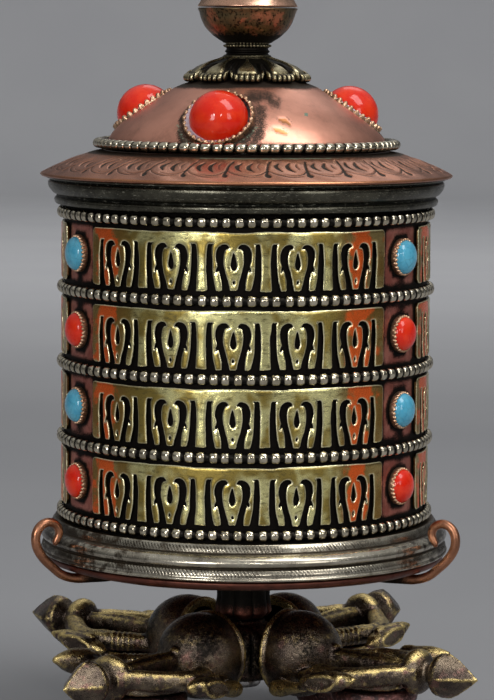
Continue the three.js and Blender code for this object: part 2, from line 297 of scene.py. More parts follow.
def limb(path, widths, sides=16, power=2.0, up=(0, 0, 1)):
    """A closed tube along a path. widths holds half width and half height, at each point or for all."""
    path = np.array(path, float)
    widths = np.broadcast_to(np.array(widths, float), (len(path), 2))
    tangent = np.gradient(path, axis=0)
    tangent /= np.linalg.norm(tangent, axis=1, keepdims=True)
    side = np.cross(np.broadcast_to(up, tangent.shape), tangent)
    side /= np.linalg.norm(side, axis=1, keepdims=True)
    top = np.cross(tangent, side)
    turn = np.arange(sides) * TAU / sides
    c, s = np.cos(turn), np.sin(turn)
    x, y = np.sign(c) * abs(c) ** (2 / power), np.sign(s) * abs(s) ** (2 / power)
    rings = (path[:, None] + side[:, None] * x[None, :, None] * widths[:, None, :1]
             + top[:, None] * y[None, :, None] * widths[:, None, 1:])
    return tube(rings, path[0], path[-1])


def blob(centre, radii, steps=14):
    """An ellipsoid, for building up cast shapes before they are fused."""
    profile = [(math.sin(a), -math.cos(a)) for a in np.linspace(0, math.pi, steps)]
    profile[0], profile[-1] = (0, -1), (0, 1)
    ball = revolve(profile, steps * 2)
    ball.points = ball.points * np.array(radii) + np.array(centre)
    return ball


def mesh_of(name, shape, scale=MM, origin=ORIGIN):
    mesh = bpy.data.meshes.new(name)
    mesh.vertices.add(len(shape.points))
    mesh.vertices.foreach_set("co", (shape.points * scale + origin).astype(np.float32).ravel())
    loops = np.concatenate([f.ravel() for f in shape.faces]).astype(np.int32)
    sizes = np.concatenate([np.full(len(f), f.shape[1]) for f in shape.faces])
    starts = np.concatenate([[0], np.cumsum(sizes)[:-1]]).astype(np.int32)
    mesh.loops.add(len(loops))
    mesh.loops.foreach_set("vertex_index", loops)
    mesh.polygons.add(len(sizes))
    mesh.polygons.foreach_set("loop_start", starts)
    mesh.update(calc_edges=True)
    for key, value in shape.marks.items():
        mark = mesh.attributes.new(key, "FLOAT", "POINT")
        mark.data.foreach_set("value", np.asarray(value, np.float32))
    mesh.validate()
    mesh.polygons.foreach_set("use_smooth", [True] * len(mesh.polygons))
    return mesh


def piece(name, shape, finish, body, node, sharp=None):
    """A finished piece: it stands for that CAD node, moves with that body and wears that finish."""
    mesh = mesh_of(name, shape)
    if sharp:
        mesh.set_sharp_from_angle(angle=math.radians(sharp))
    obj = bpy.data.objects.new(name, mesh)
    bpy.context.scene.collection.objects.link(obj)
    mesh.materials.append(FINISH[finish])
    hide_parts(node)
    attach(obj, body)


# ------------------------------------------------------------------ materials
class Finish:
    """A node material written line by line. Texture coordinates are the piece's own, in millimetres."""

    def __init__(self, name, **sockets):
        self.name = name
        self.material = bpy.data.materials.new(name)
        self.material.use_nodes = True
        self.tree = self.material.node_tree
        self.shader = self.tree.nodes["Principled BSDF"]
        coordinate = self.tree.nodes.new("ShaderNodeTexCoord").outputs["Object"]
        self.place = self.node("ShaderNodeVectorMath", coordinate, operation="SCALE", Scale=1 / MM)
        self.set(**sockets)

    def node(self, kind, *values, output=0, **settings):
        """A new node's output. Settings name its properties or its inputs; values fill its first inputs."""
        made = self.tree.nodes.new(kind)
        sockets = {k: v for k, v in settings.items() if not hasattr(made, k)}
        for key in settings.keys() - sockets.keys():
            setattr(made, key, settings[key])
        for index, value in enumerate(values):
            self.feed(made.inputs[index], value)
        for key, value in sockets.items():
            self.feed(made.inputs[key.replace("_", " ")], value)
        return made.outputs[output]

    def feed(self, socket, value):
        """Links a socket's value, or sets it from a number or a colour."""
        if isinstance(value, bpy.types.NodeSocket):
            self.tree.links.new(value, socket)
        elif value is not None:
            if socket.type == "RGBA" and len(value) == 3:
                value = (*value, 1)
            socket.default_value = value

    def set(self, **sockets):
        for key, value in sockets.items():
            self.feed(self.shader.inputs[key.replace("_", " ")], value)

    def colour(self):
        """What feeds the base colour so far, to paint over."""
        return self.shader.inputs["Base Color"].links[0].from_socket

    def noise(self, period, detail=3.0, roughness=0.55, stretch=None, distortion=0.0):
        place = self.place
        if stretch:
            place = self.node("ShaderNodeVectorMath", place, stretch, operation="MULTIPLY")
        return self.node("ShaderNodeTexNoise", Vector=place, Scale=1 / period, Detail=detail,
                         Roughness=roughness, Distortion=distortion)

    def cells(self, period, feature="F1"):
        return self.node("ShaderNodeTexVoronoi", output="Distance", feature=feature, Vector=self.place,
                         Scale=1 / period)

    def mark(self, name):
        return self.node("ShaderNodeAttribute", output="Fac", attribute_name=name)

    def add(self, a, b):
        return self.node("ShaderNodeMath", a, b, operation="ADD")

    def times(self, a, b):
        return self.node("ShaderNodeMath", a, b, operation="MULTIPLY")

    def span(self, value, low, high, to_low=0.0, to_high=1.0):
        """Where value runs from low to high, clamped, as a number from to_low to to_high."""
        made = self.tree.nodes.new("ShaderNodeMapRange")
        made.interpolation_type = "SMOOTHSTEP"
        names = ("Value", "From Min", "From Max", "To Min", "To Max")
        for key, number in zip(names, (value, low, high, to_low, to_high)):
            self.feed(made.inputs[key], number)
        return made.outputs[0]

    def spread(self, value, to_low, to_high):
        """The middle of a noise's values, where nearly all of them lie, stretched over a range."""
        return self.span(value, 0.3, 0.7, to_low, to_high)

    def ragged(self, name, texture, by, low, high, most=1.0):
        """Where a mark is strong, from 0 to most, with its border broken up by a texture."""
        return self.span(self.add(self.mark(name), self.spread(texture, -by, by)), low, high, 0.0, most)

    def mix(self, share, a, b):
        made = self.tree.nodes.new("ShaderNodeMix")
        made.data_type = "RGBA"
        self.feed(made.inputs[0], share)
        self.feed(made.inputs[6], a)
        self.feed(made.inputs[7], b)
        return made.outputs[2]

    def bump(self, height, strength, distance):
        normal = self.node("ShaderNodeBump", output="Normal", Strength=strength, Distance=distance * MM,
                           Height=height)
        self.tree.links.new(normal, self.shader.inputs["Normal"])


FINE_GRAIN = 0.25


def worn_metal(name, colours, roughness, dark=(0.02, 0.018, 0.015), tarnish=0.5, period=9.0, bumps=0.25):
    """Metal whose tone drifts between two colours, blackened in patches and darkened where the mark dark
    says, which on some pieces is blackening and on others painted shade.
    """
    f = Finish(name, Metallic=1.0)
    drift = f.span(f.noise(period, 4, 0.6), 0.35, 0.65)
    colour = f.mix(drift, colours[0], colours[1])
    patches = f.span(f.noise(period * 0.45, 5, 0.7), 0.5, 0.72, 0.0, tarnish)
    colour = f.mix(patches, colour, tuple(c * 0.35 for c in colours[1]))
    fine = f.noise(FINE_GRAIN, 3, 0.6)
    # The mark dark is blackening on some pieces and painted shade on others.
    blackening_and_shade = f.ragged("dark", fine, 0.16, 0.25, 0.75)
    colour = f.mix(blackening_and_shade, colour, dark)
    f.set(Base_Color=colour, Roughness=f.add(f.spread(fine, *roughness), f.span(blackening_and_shade, 0, 1, 0.0, 0.25)))
    f.bump(f.add(fine, f.noise(FINE_GRAIN * 6, 2, 0.5)), bumps, 0.06)
    return f


# Metals that need no more than that: two colours, the range of roughness, and what differs from the rest.
PLAIN_METALS = {
    "drum_copper": (((0.42, 0.13, 0.095), (0.60, 0.24, 0.18)), (0.38, 0.55),
                    dict(dark=(0.012, 0.010, 0.009), tarnish=0.8, period=5)),
    # Copper painted darker as shade, for the plate and the bush that sit under the drum.
    "dark_copper": (((0.20, 0.066, 0.045), (0.13, 0.05, 0.036)), (0.36, 0.52),
                    dict(tarnish=0.8, period=8, bumps=0.4)),
    "hook_copper": (((0.50, 0.225, 0.125), (0.33, 0.15, 0.085)), (0.26, 0.40), dict(tarnish=0.6, period=6)),
    "cap_copper": (((0.82, 0.52, 0.36), (0.70, 0.40, 0.27)), (0.22, 0.36), dict(tarnish=0.35, period=9)),
    "silver": (((0.74, 0.665, 0.51), (0.47, 0.41, 0.295)), (0.10, 0.20),
               dict(dark=(0.018, 0.016, 0.014), tarnish=0.3, period=7)),
    "bezel": (((0.74, 0.48, 0.31), (0.48, 0.28, 0.165)), (0.30, 0.46),
              dict(dark=(0.03, 0.02, 0.014), tarnish=0.3, period=3)),
    "lotus": (((0.50, 0.43, 0.26), (0.27, 0.225, 0.125)), (0.20, 0.34),
              dict(dark=(0.012, 0.010, 0.008), tarnish=0.5, period=3)),
    "axle_steel": (((0.44, 0.43, 0.42), (0.36, 0.35, 0.34)), (0.24, 0.40), dict(tarnish=0.4, period=6)),
    "bearing_brass": (((0.55, 0.42, 0.18), (0.46, 0.34, 0.14)), (0.25, 0.4), {}),
}


def lid_copper(name, colours, roughness):
    """Satin pinkish sheet, with blackening, verdigris and bare gouges where they are marked."""
    f = worn_metal(name, colours, roughness, dark=(0.05, 0.038, 0.03), tarnish=0.3, period=14)
    green = f.ragged("verdigris", f.noise(0.7, 4, 0.7), 0.3, 0.45, 0.75)
    colour = f.mix(green, f.colour(), (0.15, 0.21, 0.14))
    colour = f.mix(f.span(f.mark("bare"), 0.35, 0.65), colour, (0.52, 0.22, 0.09))
    f.set(Base_Color=colour, Metallic=f.span(green, 0, 1, 1.0, 0.15))
    return f


def bowl_patina():
    """Lower bowl of the finial: olive-brown patina with copper showing through."""
    f = worn_metal("bowl_patina", ((0.22, 0.13, 0.06), (0.13, 0.10, 0.05)), (0.30, 0.48),
                   tarnish=0.7, period=4, bumps=0.6)
    red = f.span(f.noise(7.5, 4, 0.62, distortion=0.6), 0.52, 0.64)
    colour = f.mix(red, f.colour(), (0.52, 0.19, 0.095))
    speckle = f.span(f.noise(0.9, 5, 0.75), 0.35, 0.65, -0.35, 0.65)
    black = f.span(f.add(f.mark("dark"), speckle), 0.35, 0.60)
    f.set(Base_Color=f.mix(black, colour, (0.018, 0.015, 0.011)))
    return f


def moulding_silver():
    """Base moulding: white metal, browner where it is marked: tarnish in the grooves and painted shade
    towards the sides.
    """
    f = worn_metal("moulding_silver", ((0.64, 0.585, 0.47), (0.36, 0.32, 0.25)), (0.15, 0.28),
                   dark=(0.035, 0.028, 0.02), tarnish=0.35, period=10)
    brown = f.ragged("brown", f.noise(3, 5, 0.7), 0.4, 0.3, 0.8)
    f.set(Base_Color=f.mix(brown, f.colour(), (0.075, 0.055, 0.036)))
    return f


def pewter():
    """Top moulding: blackened white metal, the high spots scuffed bright in short level strokes."""
    f = worn_metal("pewter", ((0.115, 0.108, 0.080), (0.060, 0.056, 0.043)), (0.22, 0.40),
                   dark=(0.01, 0.01, 0.008), tarnish=0.4, period=6)
    scuffs = f.span(f.noise(1.5, 4, 0.7, stretch=(1, 1, 5)), 0.585, 0.66, 0, 0.8)
    f.set(Base_Color=f.mix(scuffs, f.colour(), (0.42, 0.40, 0.31)))
    return f


def band_brass():
    """Polished olive-gold, tarnished in patches, browner towards the bands' ends as painted shade with an
    orange painted reflection there, bright along the cut edges from worn polish and a painted highlight.
    """
    f = Finish("band_brass", Metallic=1.0)
    drift = f.span(f.noise(12, 3, 0.6), 0.41, 0.57)
    colour = f.mix(drift, (0.96, 0.89, 0.41), (0.38, 0.28, 0.07))
    streak = f.noise(2.6, 5, 0.68, stretch=(1, 1, 3))
    colour = f.mix(f.span(streak, 0.50, 0.68, 0, 0.8), colour, (0.17, 0.14, 0.055))
    # Browner towards the ends of each band: painted shade.
    colour = f.mix(f.span(f.mark("end"), 0.0, 0.4, 0, 0.75), colour, (0.36, 0.20, 0.055))
    # Orange near the ends: a painted reflection.
    ends = f.ragged("end", f.noise(4.5, 4, 0.6), 0.3, 0.52, 0.80, 0.95)
    colour = f.mix(ends, colour, (0.97, 0.15, 0.025))
    pits = f.span(f.cells(1.1), 0.02, 0.10, 1, 0)
    colour = f.mix(f.times(pits, 0.6), colour, (0.03, 0.025, 0.012))
    # Pale along the cut edges: worn polish, and a painted highlight.
    colour = f.mix(f.span(f.mark("edge"), 0.15, 0.8, 0, 0.9), colour, (0.93, 0.86, 0.55))
    colour = f.mix(f.span(f.mark("wall"), 0.2, 0.9), colour, (0.16, 0.11, 0.04))
    fine = f.noise(0.22, 4, 0.65, stretch=(1, 1, 2.5))
    f.set(Base_Color=colour, Roughness=f.add(f.spread(fine, 0.14, 0.30), f.span(drift, 0, 1, 0, 0.08)),
          Metallic=f.span(ends, 0, 1, 1.0, 0.82))
    f.bump(f.add(fine, f.times(f.noise(2.6, 2, 0.5), 3.0)), 0.26, 0.08)
    return f


def cast_bronze():
    """Castings of the stand: black-brown and pitted, gold on the worn ridges and, as painted highlight, on
    faces that look up; black where marked dark, which includes painted shade.
    """
    f = Finish("cast_bronze", Metallic=1.0)
    drift = f.span(f.noise(7, 4, 0.6), 0.38, 0.64)
    colour = f.mix(drift, (0.070, 0.052, 0.042), (0.20, 0.155, 0.110))
    ruddy = f.span(f.noise(4, 4, 0.65), 0.53, 0.68, 0, 0.75)
    colour = f.mix(ruddy, colour, (0.22, 0.115, 0.095))
    colour = f.mix(f.ragged("worn", f.noise(1.7, 5, 0.7), 0.19, 0.36, 0.78), colour, (0.66, 0.50, 0.205))
    pits = f.times(f.span(f.cells(0.6), 0.20, 0.36, 1, 0), f.span(f.noise(2.6, 3, 0.6), 0.46, 0.56))
    colour = f.mix(f.times(pits, 0.85), colour, (0.02, 0.016, 0.013))
    colour = f.mix(f.ragged("dark", f.noise(1.0, 4, 0.7), 0.25, 0.4, 0.85), colour, (0.014, 0.012, 0.010))
    fine = f.noise(0.35, 4, 0.7)
    f.set(Base_Color=colour, Roughness=f.spread(fine, 0.19, 0.38))
    f.bump(f.add(fine, f.noise(1.3, 4, 0.65)), 0.6, 0.2)
    return f


def foot_copper():
    """Dull purplish brown with rough red high spots."""
    f = Finish("foot_copper", Metallic=1.0)
    drift = f.span(f.noise(3.5, 5, 0.7), 0.42, 0.6)
    colour = f.mix(drift, (0.060, 0.042, 0.042), (0.17, 0.075, 0.065))
    colour = f.mix(f.span(f.noise(0.8, 4, 0.7), 0.52, 0.66, 0, 0.9), colour, (0.50, 0.25, 0.23))
    f.set(Base_Color=colour, Roughness=f.spread(f.noise(0.5, 3, 0.6), 0.34, 0.56))
    f.bump(f.noise(0.8, 5, 0.7), 0.6, 0.25)
    return f


def turquoise():
    """Opaque polished stone with a faint vein."""
    f = Finish("turquoise", Coat_Weight=0.8, Coat_Roughness=0.06, Specular_IOR_Level=0.2)
    cloud = f.span(f.noise(2.4, 4, 0.6), 0.35, 0.65)
    colour = f.mix(cloud, (0.060, 0.33, 0.50), (0.10, 0.42, 0.58))
    vein = f.span(f.cells(2.7, "DISTANCE_TO_EDGE"), 0.0, 0.035, 0.35, 0)
    f.set(Base_Color=f.mix(vein, colour, (0.05, 0.13, 0.14)), Roughness=f.spread(f.noise(0.9), 0.16, 0.28))
    f.bump(f.noise(1.1, 3, 0.6), 0.08, 0.1)
    return f


def coral():
    """Opaque polished red, faintly clouded."""
    f = Finish("coral", Coat_Weight=0.75, Coat_Roughness=0.06, Coat_IOR=1.45, Specular_IOR_Level=0.1)
    cloud = f.span(f.noise(4.5, 4, 0.6), 0.35, 0.65)
    colour = f.mix(cloud, (0.68, 0.015, 0.003), (0.77, 0.038, 0.008))
    f.set(Base_Color=colour, Roughness=f.spread(f.noise(1.2), 0.25, 0.40))
    f.bump(f.noise(1.6, 3, 0.6), 0.07, 0.1)
    return f


def cement():
    """Pale pinkish setting cement, black where it is marked, which is painted shade in the gap beside the
    ball.
    """
    f = Finish("cement", Coat_Weight=0.5, Coat_Roughness=0.1)
    pale = f.mix(f.span(f.noise(1.4, 4, 0.6), 0.35, 0.65), (0.42, 0.31, 0.36), (0.55, 0.47, 0.50))
    f.set(Base_Color=f.mix(f.span(f.mark("dark"), 0.35, 0.8), pale, (0.022, 0.016, 0.016)),
          Roughness=f.spread(f.noise(0.8), 0.3, 0.5))
    f.bump(f.noise(0.9, 4, 0.6), 0.3, 0.12)
    return f


def core_wood():
    """Brown wood with its grain along the core."""
    f = Finish("core_wood")
    grain = f.noise(1.2, 4, 0.65, stretch=(1, 1, 0.08), distortion=0.4)
    f.set(Base_Color=f.mix(f.span(grain, 0.35, 0.65), (0.34, 0.19, 0.085), (0.18, 0.09, 0.038)),
          Roughness=f.spread(grain, 0.55, 0.75))
    f.bump(grain, 0.4, 0.15)
    return f


def paper():
    """Yellowed paper, browner between the layers of the roll."""
    f = Finish("paper")
    fibre = f.noise(0.5, 5, 0.7)
    aged = f.mix(f.span(f.noise(14, 4, 0.6), 0.35, 0.65), (0.66, 0.52, 0.30), (0.56, 0.42, 0.22))
    f.set(Base_Color=f.mix(f.span(f.mark("dark"), 0.2, 0.8, 0, 0.6), aged, (0.25, 0.16, 0.07)),
          Roughness=f.spread(fibre, 0.78, 0.92))
    f.bump(fibre, 0.3, 0.08)
    return f


finishes = [worn_metal(key, colours, rough, **rest) for key, (colours, rough, rest) in PLAIN_METALS.items()]
finishes += [lid_copper("dome_copper", ((0.78, 0.375, 0.265), (0.64, 0.295, 0.205)), (0.31, 0.43)),
             lid_copper("brim_copper", ((0.57, 0.255, 0.158), (0.39, 0.17, 0.105)), (0.26, 0.38))]
for make in (bowl_patina, moulding_silver, pewter, band_brass, cast_bronze, foot_copper,
             turquoise, coral, cement, core_wood, paper):
    finishes.append(make())
FINISH = {f.name: f.material for f in finishes}


# ------------------------------------------------------------------ drum
def beaded_ring(count, r_in, r_out, z, half, share=0.33, slant=0.0, seed=0, steps=10, neck=0.4, square=4):
    """Wire rolled into beads, with dark grooves between them."""
    rng = np.random.default_rng(seed)
    size = 1 + 0.07 * rng.uniform(-1, 1, count)
    shift = 0.05 * rng.uniform(-1, 1, count)
    turn = np.linspace(-90, 90, 9) * math.pi / 180
    section = np.concatenate([turn, [math.pi / 2, -math.pi / 2]])
    inner = np.concatenate([np.zeros(9), [1, 1]])
    k = np.arange(count * steps)
    bead = k // steps
    t = (k % steps + 0.5) / steps - 0.5
    t = np.sign(t) * 0.5 * (abs(t) * 2) ** 0.8
    inside = np.clip(1 - (abs(t - shift[bead]) / share) ** square, 0, 1) ** 0.5
    b = inside[:, None] * size[bead][:, None]
    middle = (r_in + r_out) / 2 - 0.15
    depth = (r_out - middle) * (neck + (1 - neck) * b)
    height = half * (neck + 0.16 + (0.84 - neck) * np.minimum(b, 1.04))
    az = ((bead + t + 0.5) / count * TAU)[:, None] + slant / r_out * np.sin(section)[None]
    r = np.where(inner[None] > 0, r_in, middle + depth * np.cos(section)[None])
    zz = z + height * np.sin(section)[None]
    # Dark between the beads where the wire is blackened; the darkening at the top and bottom of the wire's
    # section is painted shade where it meets the sheet.
    dark = np.clip(1 - inside[:, None] * 1.25, 0, 1) + 0.35 * abs(np.sin(section)[None]) ** 3
    columns = len(section)
    return Shape(around(az, r, zz), [grid_faces(len(k), columns, True, True)],
                 dark=np.clip(dark, 0, 1).ravel()).outward()


def serrated_bezel(r_in, r_out, low, high, teeth, fold, seed):
    """A collar along +Z, its top edge cut into teeth that are folded in over the stone."""
    rng = np.random.default_rng(seed)
    wobble = rng.uniform(-1, 1, teeth)
    profile = softened([(r_in, low), (r_out, low), (r_out + 0.05, (low + high) / 2),
                        (r_out - 0.05, high - 0.3), (r_out - 0.45 * fold, high),
                        (r_in - 0.35 * fold, high - 0.12), (r_in, high - 0.5)], 0.25, 3)
    profile = dense(profile, (high - low) / 6)

    def form(az, r, z):
        phase = az / TAU * teeth
        tooth = 1 - 2 * np.sin(math.pi * phase) ** 4
        random = wobble[np.floor(phase + 0.5).astype(int) % teeth]
        top = smooth((z - low) / (high - low) * 1.6 - 0.6)
        outer = smooth((r - r_in) / (r_out - r_in))
        r = r + top * outer * (0.20 * tooth * fold + 0.05 * random)
        z = z + top * (0.36 * tooth + 0.12 * random) * (high - low) / 2.6
        dark = np.clip(0.8 * smooth((high - 1.8 - z) / 0.9) + 0.75 * (1 - smooth(tooth * 0.8 + 1.0)), 0, 1)
        return r, z, {"dark": dark}

    return revolve(profile, teeth * 8, form)


def cabochon(radius, base, rise, power, seed):
    """Domed stone along +Z, cut low at its edge and a little uneven."""
    turn = np.linspace(0, math.pi / 2, 12)
    bend = 2 / power
    dome = [(radius * math.cos(a) ** bend, base + rise * math.sin(a) ** bend) for a in turn[:-1]]
    foot = [(0, base - 0.9), (radius * 0.9, base - 0.9), (radius, base - 0.6)]
    profile = foot + dome + [(0, base + rise)]

    def form(az, r, z):
        lumps = grain_over(az, r, z)(radius * 1.3, seed)
        return r * (1 + 0.018 * lumps), z + 0.04 * rise * lumps * (r < radius * 0.95)

    return revolve(profile, 48, form)


def outward_from_drum(azimuth, z):
    """Takes +Z to the outward direction at that place on the drum."""
    turn = Matrix.Rotation(math.radians(azimuth), 4, "Z") @ Matrix.Rotation(math.pi / 2, 4, "X")
    return Matrix.Translation((0, 0, z)) @ turn


def build_shell():
    """Copper sheet of the drum, bare around the stones and blackened elsewhere."""
    inner, outer = DRUM_R - 1, DRUM_R
    profile = turned_profile([(inner, DRUM_LOW), (outer, DRUM_LOW), (outer, DRUM_HIGH), (inner, DRUM_HIGH)],
                             0.15, 2, 1.6)

    def form(az, r, z):
        grain = grain_over(az, r, z)
        dents = grain(16, 3)
        r = r + np.where(r > inner + 0.5, 0.10, 0.04) * dents
        bare = np.zeros(r.shape)
        for column in range(len(COLUMNS)):
            away = abs((az - math.radians(column_az(column)) + math.pi) % TAU - math.pi) * DRUM_R
            patch = 1 - smooth((away - 5.6) / 3.0)
            for row in range(ROWS):
                near = np.hypot(away, z - row_z(row))
                halo = smooth((near - 5.4) / 1.5)
                height = 1 - smooth((abs(z - row_z(row)) - 6.2) / 2.0)
                bare = np.maximum(bare, patch * halo * height)
        ragged = 0.25 * grain(2.5, 5, 3)
        return r, z, {"dark": np.where(r > inner + 0.5, np.clip(1.05 - bare + ragged, 0, 1), 0.35)}

    return revolve(profile, 420, form)


# Half of one repeat of the frieze, mirrored about its middle. Lines are x, y, half width in mm from the
# middle of the repeat and of the band, and they are what is cut away.
REPEAT = 16.4
CUTS = (
    ((6.15, 3.9, 0.60), (6.25, 0, 0.80), (6.05, -4.2, 0.88), (5.45, -8.6, 1.25)),
    ((6.0, 3.9, 0.45), (5.2, 4.5, 0.06)),
    ((1.15, 3.3, 0.15), (2.0, 3.7, 0.60), (3.15, 3.0, 0.98), (3.55, 1.2, 1.02), (3.3, -1.0, 0.84),
     (2.7, -3.3, 0.76), (2.15, -5.6, 0.86), (1.8, -8.4, 1.15)),
    ((3.3, -0.9, 0.40), (4.1, -1.9, 0.34), (4.45, -3.0, 0.10)),
    ((0.0, 2.5, 0.08), (0.0, 1.0, 0.46), (0.0, -0.9, 0.80), (0.0, -1.8, 0.55)),
    ((0.0, -4.6, 0.06), (0.0, -5.3, 0.34), (0.0, -6.0, 0.06)),
)


def frieze(s, y, seed):
    """Distance in mm to the nearest cut edge, positive on the brass, over arc length s and height y."""
    p = np.stack([s.ravel(), y.ravel(), np.zeros(s.size)], 1)
    s = s + 0.13 * noise(p, 3.1, seed).reshape(s.shape)
    y = y + 0.13 * noise(p, 3.1, seed + 50).reshape(s.shape)
    half_width, half_height = BAND_ARC / 2 * BAND_R, BAND_HEIGHT / 2
    top = half_height - 0.15 - 0.22 * noise(p * [1, 0, 0], 9, seed + 9).reshape(s.shape)
    corner = 1.2
    dx, dy = abs(s) - (half_width - corner), abs(y) - (top - corner)
    body = -(np.hypot(np.maximum(dx, 0), np.maximum(dy, 0)) + np.minimum(np.maximum(dx, dy), 0) - corner)
    local = (s + 2.5 * REPEAT) % REPEAT - REPEAT / 2
    side = abs(local)
    cut = np.full(s.shape, 1e3)
    for line in CUTS:
        cut = np.minimum(cut, stroke(side, y, curved(line)))
    cut = np.where(abs(s) > 2.5 * REPEAT, 1e3, cut)
    return np.minimum(body, cut)


def pierced_sheet(value, place, top_height, bottom_height, marks):
    """A solid sheet wherever value, given on a grid, is positive. Its cut edges run exactly along zero."""
    ny, nx = value.shape
    f = value.ravel()
    i, j = np.meshgrid(np.arange(nx - 1), np.arange(ny - 1))
    a = (j * nx + i).ravel()
    triangles = np.concatenate([np.stack([a, a + 1, a + nx + 1], 1), np.stack([a, a + nx + 1, a + nx], 1)])
    inside = f[triangles] > 0
    count = inside.sum(1)
    full = triangles[count == 3]

    def crossing(p, q):
        """One whole number for the edge between two corners."""
        low, high = np.minimum(p, q), np.maximum(p, q)
        return low * len(f) + high

    def turned(rows, first):
        """The rows' corners in order, beginning with the one that is marked first."""
        start = np.argmax(first, 1)
        n = np.arange(len(rows))
        return [rows[n, (start + k) % 3] for k in range(3)]

    two = count == 2
    p, q, r = turned(triangles[two], ~inside[two])
    quads = (crossing(p, q), q, r, crossing(r, p))
    one = count == 1
    s, t, u = turned(triangles[one], inside[one])
    tips = (s, crossing(s, t), crossing(u, s))
    codes = np.unique(np.concatenate([quads[0], quads[3], tips[1], tips[2]]))
    low, high = codes // len(f), codes % len(f)
    share = f[low] / (f[low] - f[high])
    kept = np.flatnonzero(f > 0)
    number = np.full(len(f), -1)
    number[kept] = np.arange(len(kept))
    column, row = np.arange(len(f)) % nx, np.arange(len(f)) // nx
    gx = np.concatenate([column[kept], column[low] + share * (column[high] - column[low])])
    gy = np.concatenate([row[kept], row[low] + share * (row[high] - row[low])])

    def at(code):
        return len(kept) + np.searchsorted(codes, code)

    faces3 = np.concatenate([number[full], np.stack([number[tips[0]], at(tips[1]), at(tips[2])], 1)])
    faces4 = np.stack([at(quads[0]), number[quads[1]], number[quads[2]], at(quads[3])], 1)
    rim = np.concatenate([np.stack([at(quads[3]), at(quads[0])], 1), np.stack([at(tips[1]), at(tips[2])], 1)])
    distance = np.concatenate([f[kept], np.zeros(len(codes))])
    n = len(gx)
    top = place(gx, gy, top_height(gx, gy, distance))
    bottom = place(gx, gy, np.full(n, bottom_height))
    wall = place(gx[len(kept):], gy[len(kept):], np.full(len(codes), bottom_height + 0.35))
    m = len(kept)
    lift = rim - m + 2 * n
    faces = [faces3, faces4, faces3[:, ::-1] + n, faces4[:, ::-1] + n,
             np.stack([rim[:, 1], rim[:, 0], lift[:, 0], lift[:, 1]], 1),
             np.stack([lift[:, 1], lift[:, 0], rim[:, 0] + n, rim[:, 1] + n], 1)]
    shape = Shape(np.vstack([top, bottom, wall]), faces)
    shape.marks = marks(gx, gy, distance, len(codes))
    return shape


def build_band(centre_az, z, seed):
    """One pierced band, curved to the drum."""
    cell = 0.40
    half_width = BAND_ARC / 2 * BAND_R + 2 * cell
    half_height = BAND_HEIGHT / 2 + 2 * cell
    nx, ny = int(2 * half_width / cell) + 2, int(2 * half_height / cell) + 2
    sx, sy = np.meshgrid(np.linspace(-half_width, half_width, nx),
                         np.linspace(-half_height, half_height, ny))
    value = np.clip(frieze(sx, sy, seed), -2, 2)
    value[abs(value) < 1e-3] = 1e-3
    step_x, step_y = 2 * half_width / (nx - 1), 2 * half_height / (ny - 1)

    def flat(gx, gy):
        return gx * step_x - half_width, gy * step_y - half_height

    def place(gx, gy, height):
        s, y = flat(gx, gy)
        return around(math.radians(centre_az) + s / BAND_R, height, z + y)

    def top_height(gx, gy, distance):
        s, y = flat(gx, gy)
        p = np.stack([s, y, np.zeros(len(s))], 1)
        worn = 0.20 * np.maximum(0, 1 - distance / 0.42) ** 2
        return BAND_R - worn + 0.07 * noise(p, 5, seed + 3) + 0.01 * noise(p, 1.3, seed + 4)

    def marks(gx, gy, distance, cut):
        s, _ = flat(gx, gy)
        # Towards each end: browner as painted shade, and orange near the end as a painted reflection.
        end = 0.4 * smooth((abs(s) - 23) / 12) + 0.7 * peak(abs(s + 1.5), 35.5, 3.6)
        # Close to the cut edges: worn polish, and a painted highlight.
        edge = np.exp(-distance / 0.2)
        n = len(s)
        return {"edge": np.concatenate([edge, np.zeros(n), np.zeros(cut)]),
                "wall": np.concatenate([np.zeros(n), np.ones(n), np.ones(cut)]),
                "end": np.concatenate([end, end, end[-cut:]])}

    return pierced_sheet(value, place, top_height, DRUM_R + 0.25, marks)


def build_base_moulding():
    """Stepped moulding with hatched steps and grooves between them."""
    profile = [(48.4, 50.5), (54.0, 50.5), (54.5, 50.8), (54.5, 51.2), (54.1, 51.45), (54.15, 52.3),
               (53.7, 53.3), (53.2, 53.6), (53.25, 53.9), (54.05, 54.3), (54.4, 55.1), (54.05, 56.0),
               (53.1, 56.8), (52.1, 57.15), (51.75, 57.3), (51.7, 57.55), (51.35, 58.6), (50.9, 59.2),
               (50.7, 59.55), (48.4, 59.55)]
    profile = turned_profile(profile, 0.22, 2, 0.5)

    def form(az, r, z):
        grain = grain_over(az, r, z)
        patch = 0.5 + 0.5 * grain(7, 11)
        upper = smooth((z - 57.5) / 0.3) * smooth((59.3 - z) / 0.4)
        lower = smooth((z - 51.6) / 0.3) * smooth((53.5 - z) / 0.3)
        hatch = np.sin(az * 53 / 0.92 * TAU + z * 5.2 + 3 * grain(6, 12))
        tooled = (upper + 1.4 * lower) * np.clip(hatch, 0, 1)
        outer = r > 49.5
        r = r - outer * 0.13 * tooled * smooth(patch * 2 - 0.4)
        r = r + outer * 0.05 * grain(9, 13)
        grooves = peak(z, 53.65, 0.28) + peak(z, 57.35, 0.22) + 0.6 * peak(z, 51.4, 0.15)
        dark = grooves + 0.3 * smooth((z - 57.2) / 0.3) + 1.5 * tooled * patch
        # The last term darkens the moulding towards its sides, away from the front: painted shade.
        dark = dark + smooth((50.6 - r) / 0.4) + 0.25 * smooth(1 - np.cos(az - 0.1) * 1.5)
        # Browner away from the front as painted shade, and in the grooves as tarnish.
        frontal = np.cos(az - math.radians(10))
        brown = np.clip(1.1 - 1.05 * frontal, 0, 0.70) + 0.2 * grooves
        return r, z, {"dark": np.clip(dark, 0, 1), "brown": np.clip(brown, 0, 0.9)}

    return revolve(profile, 1200, form)


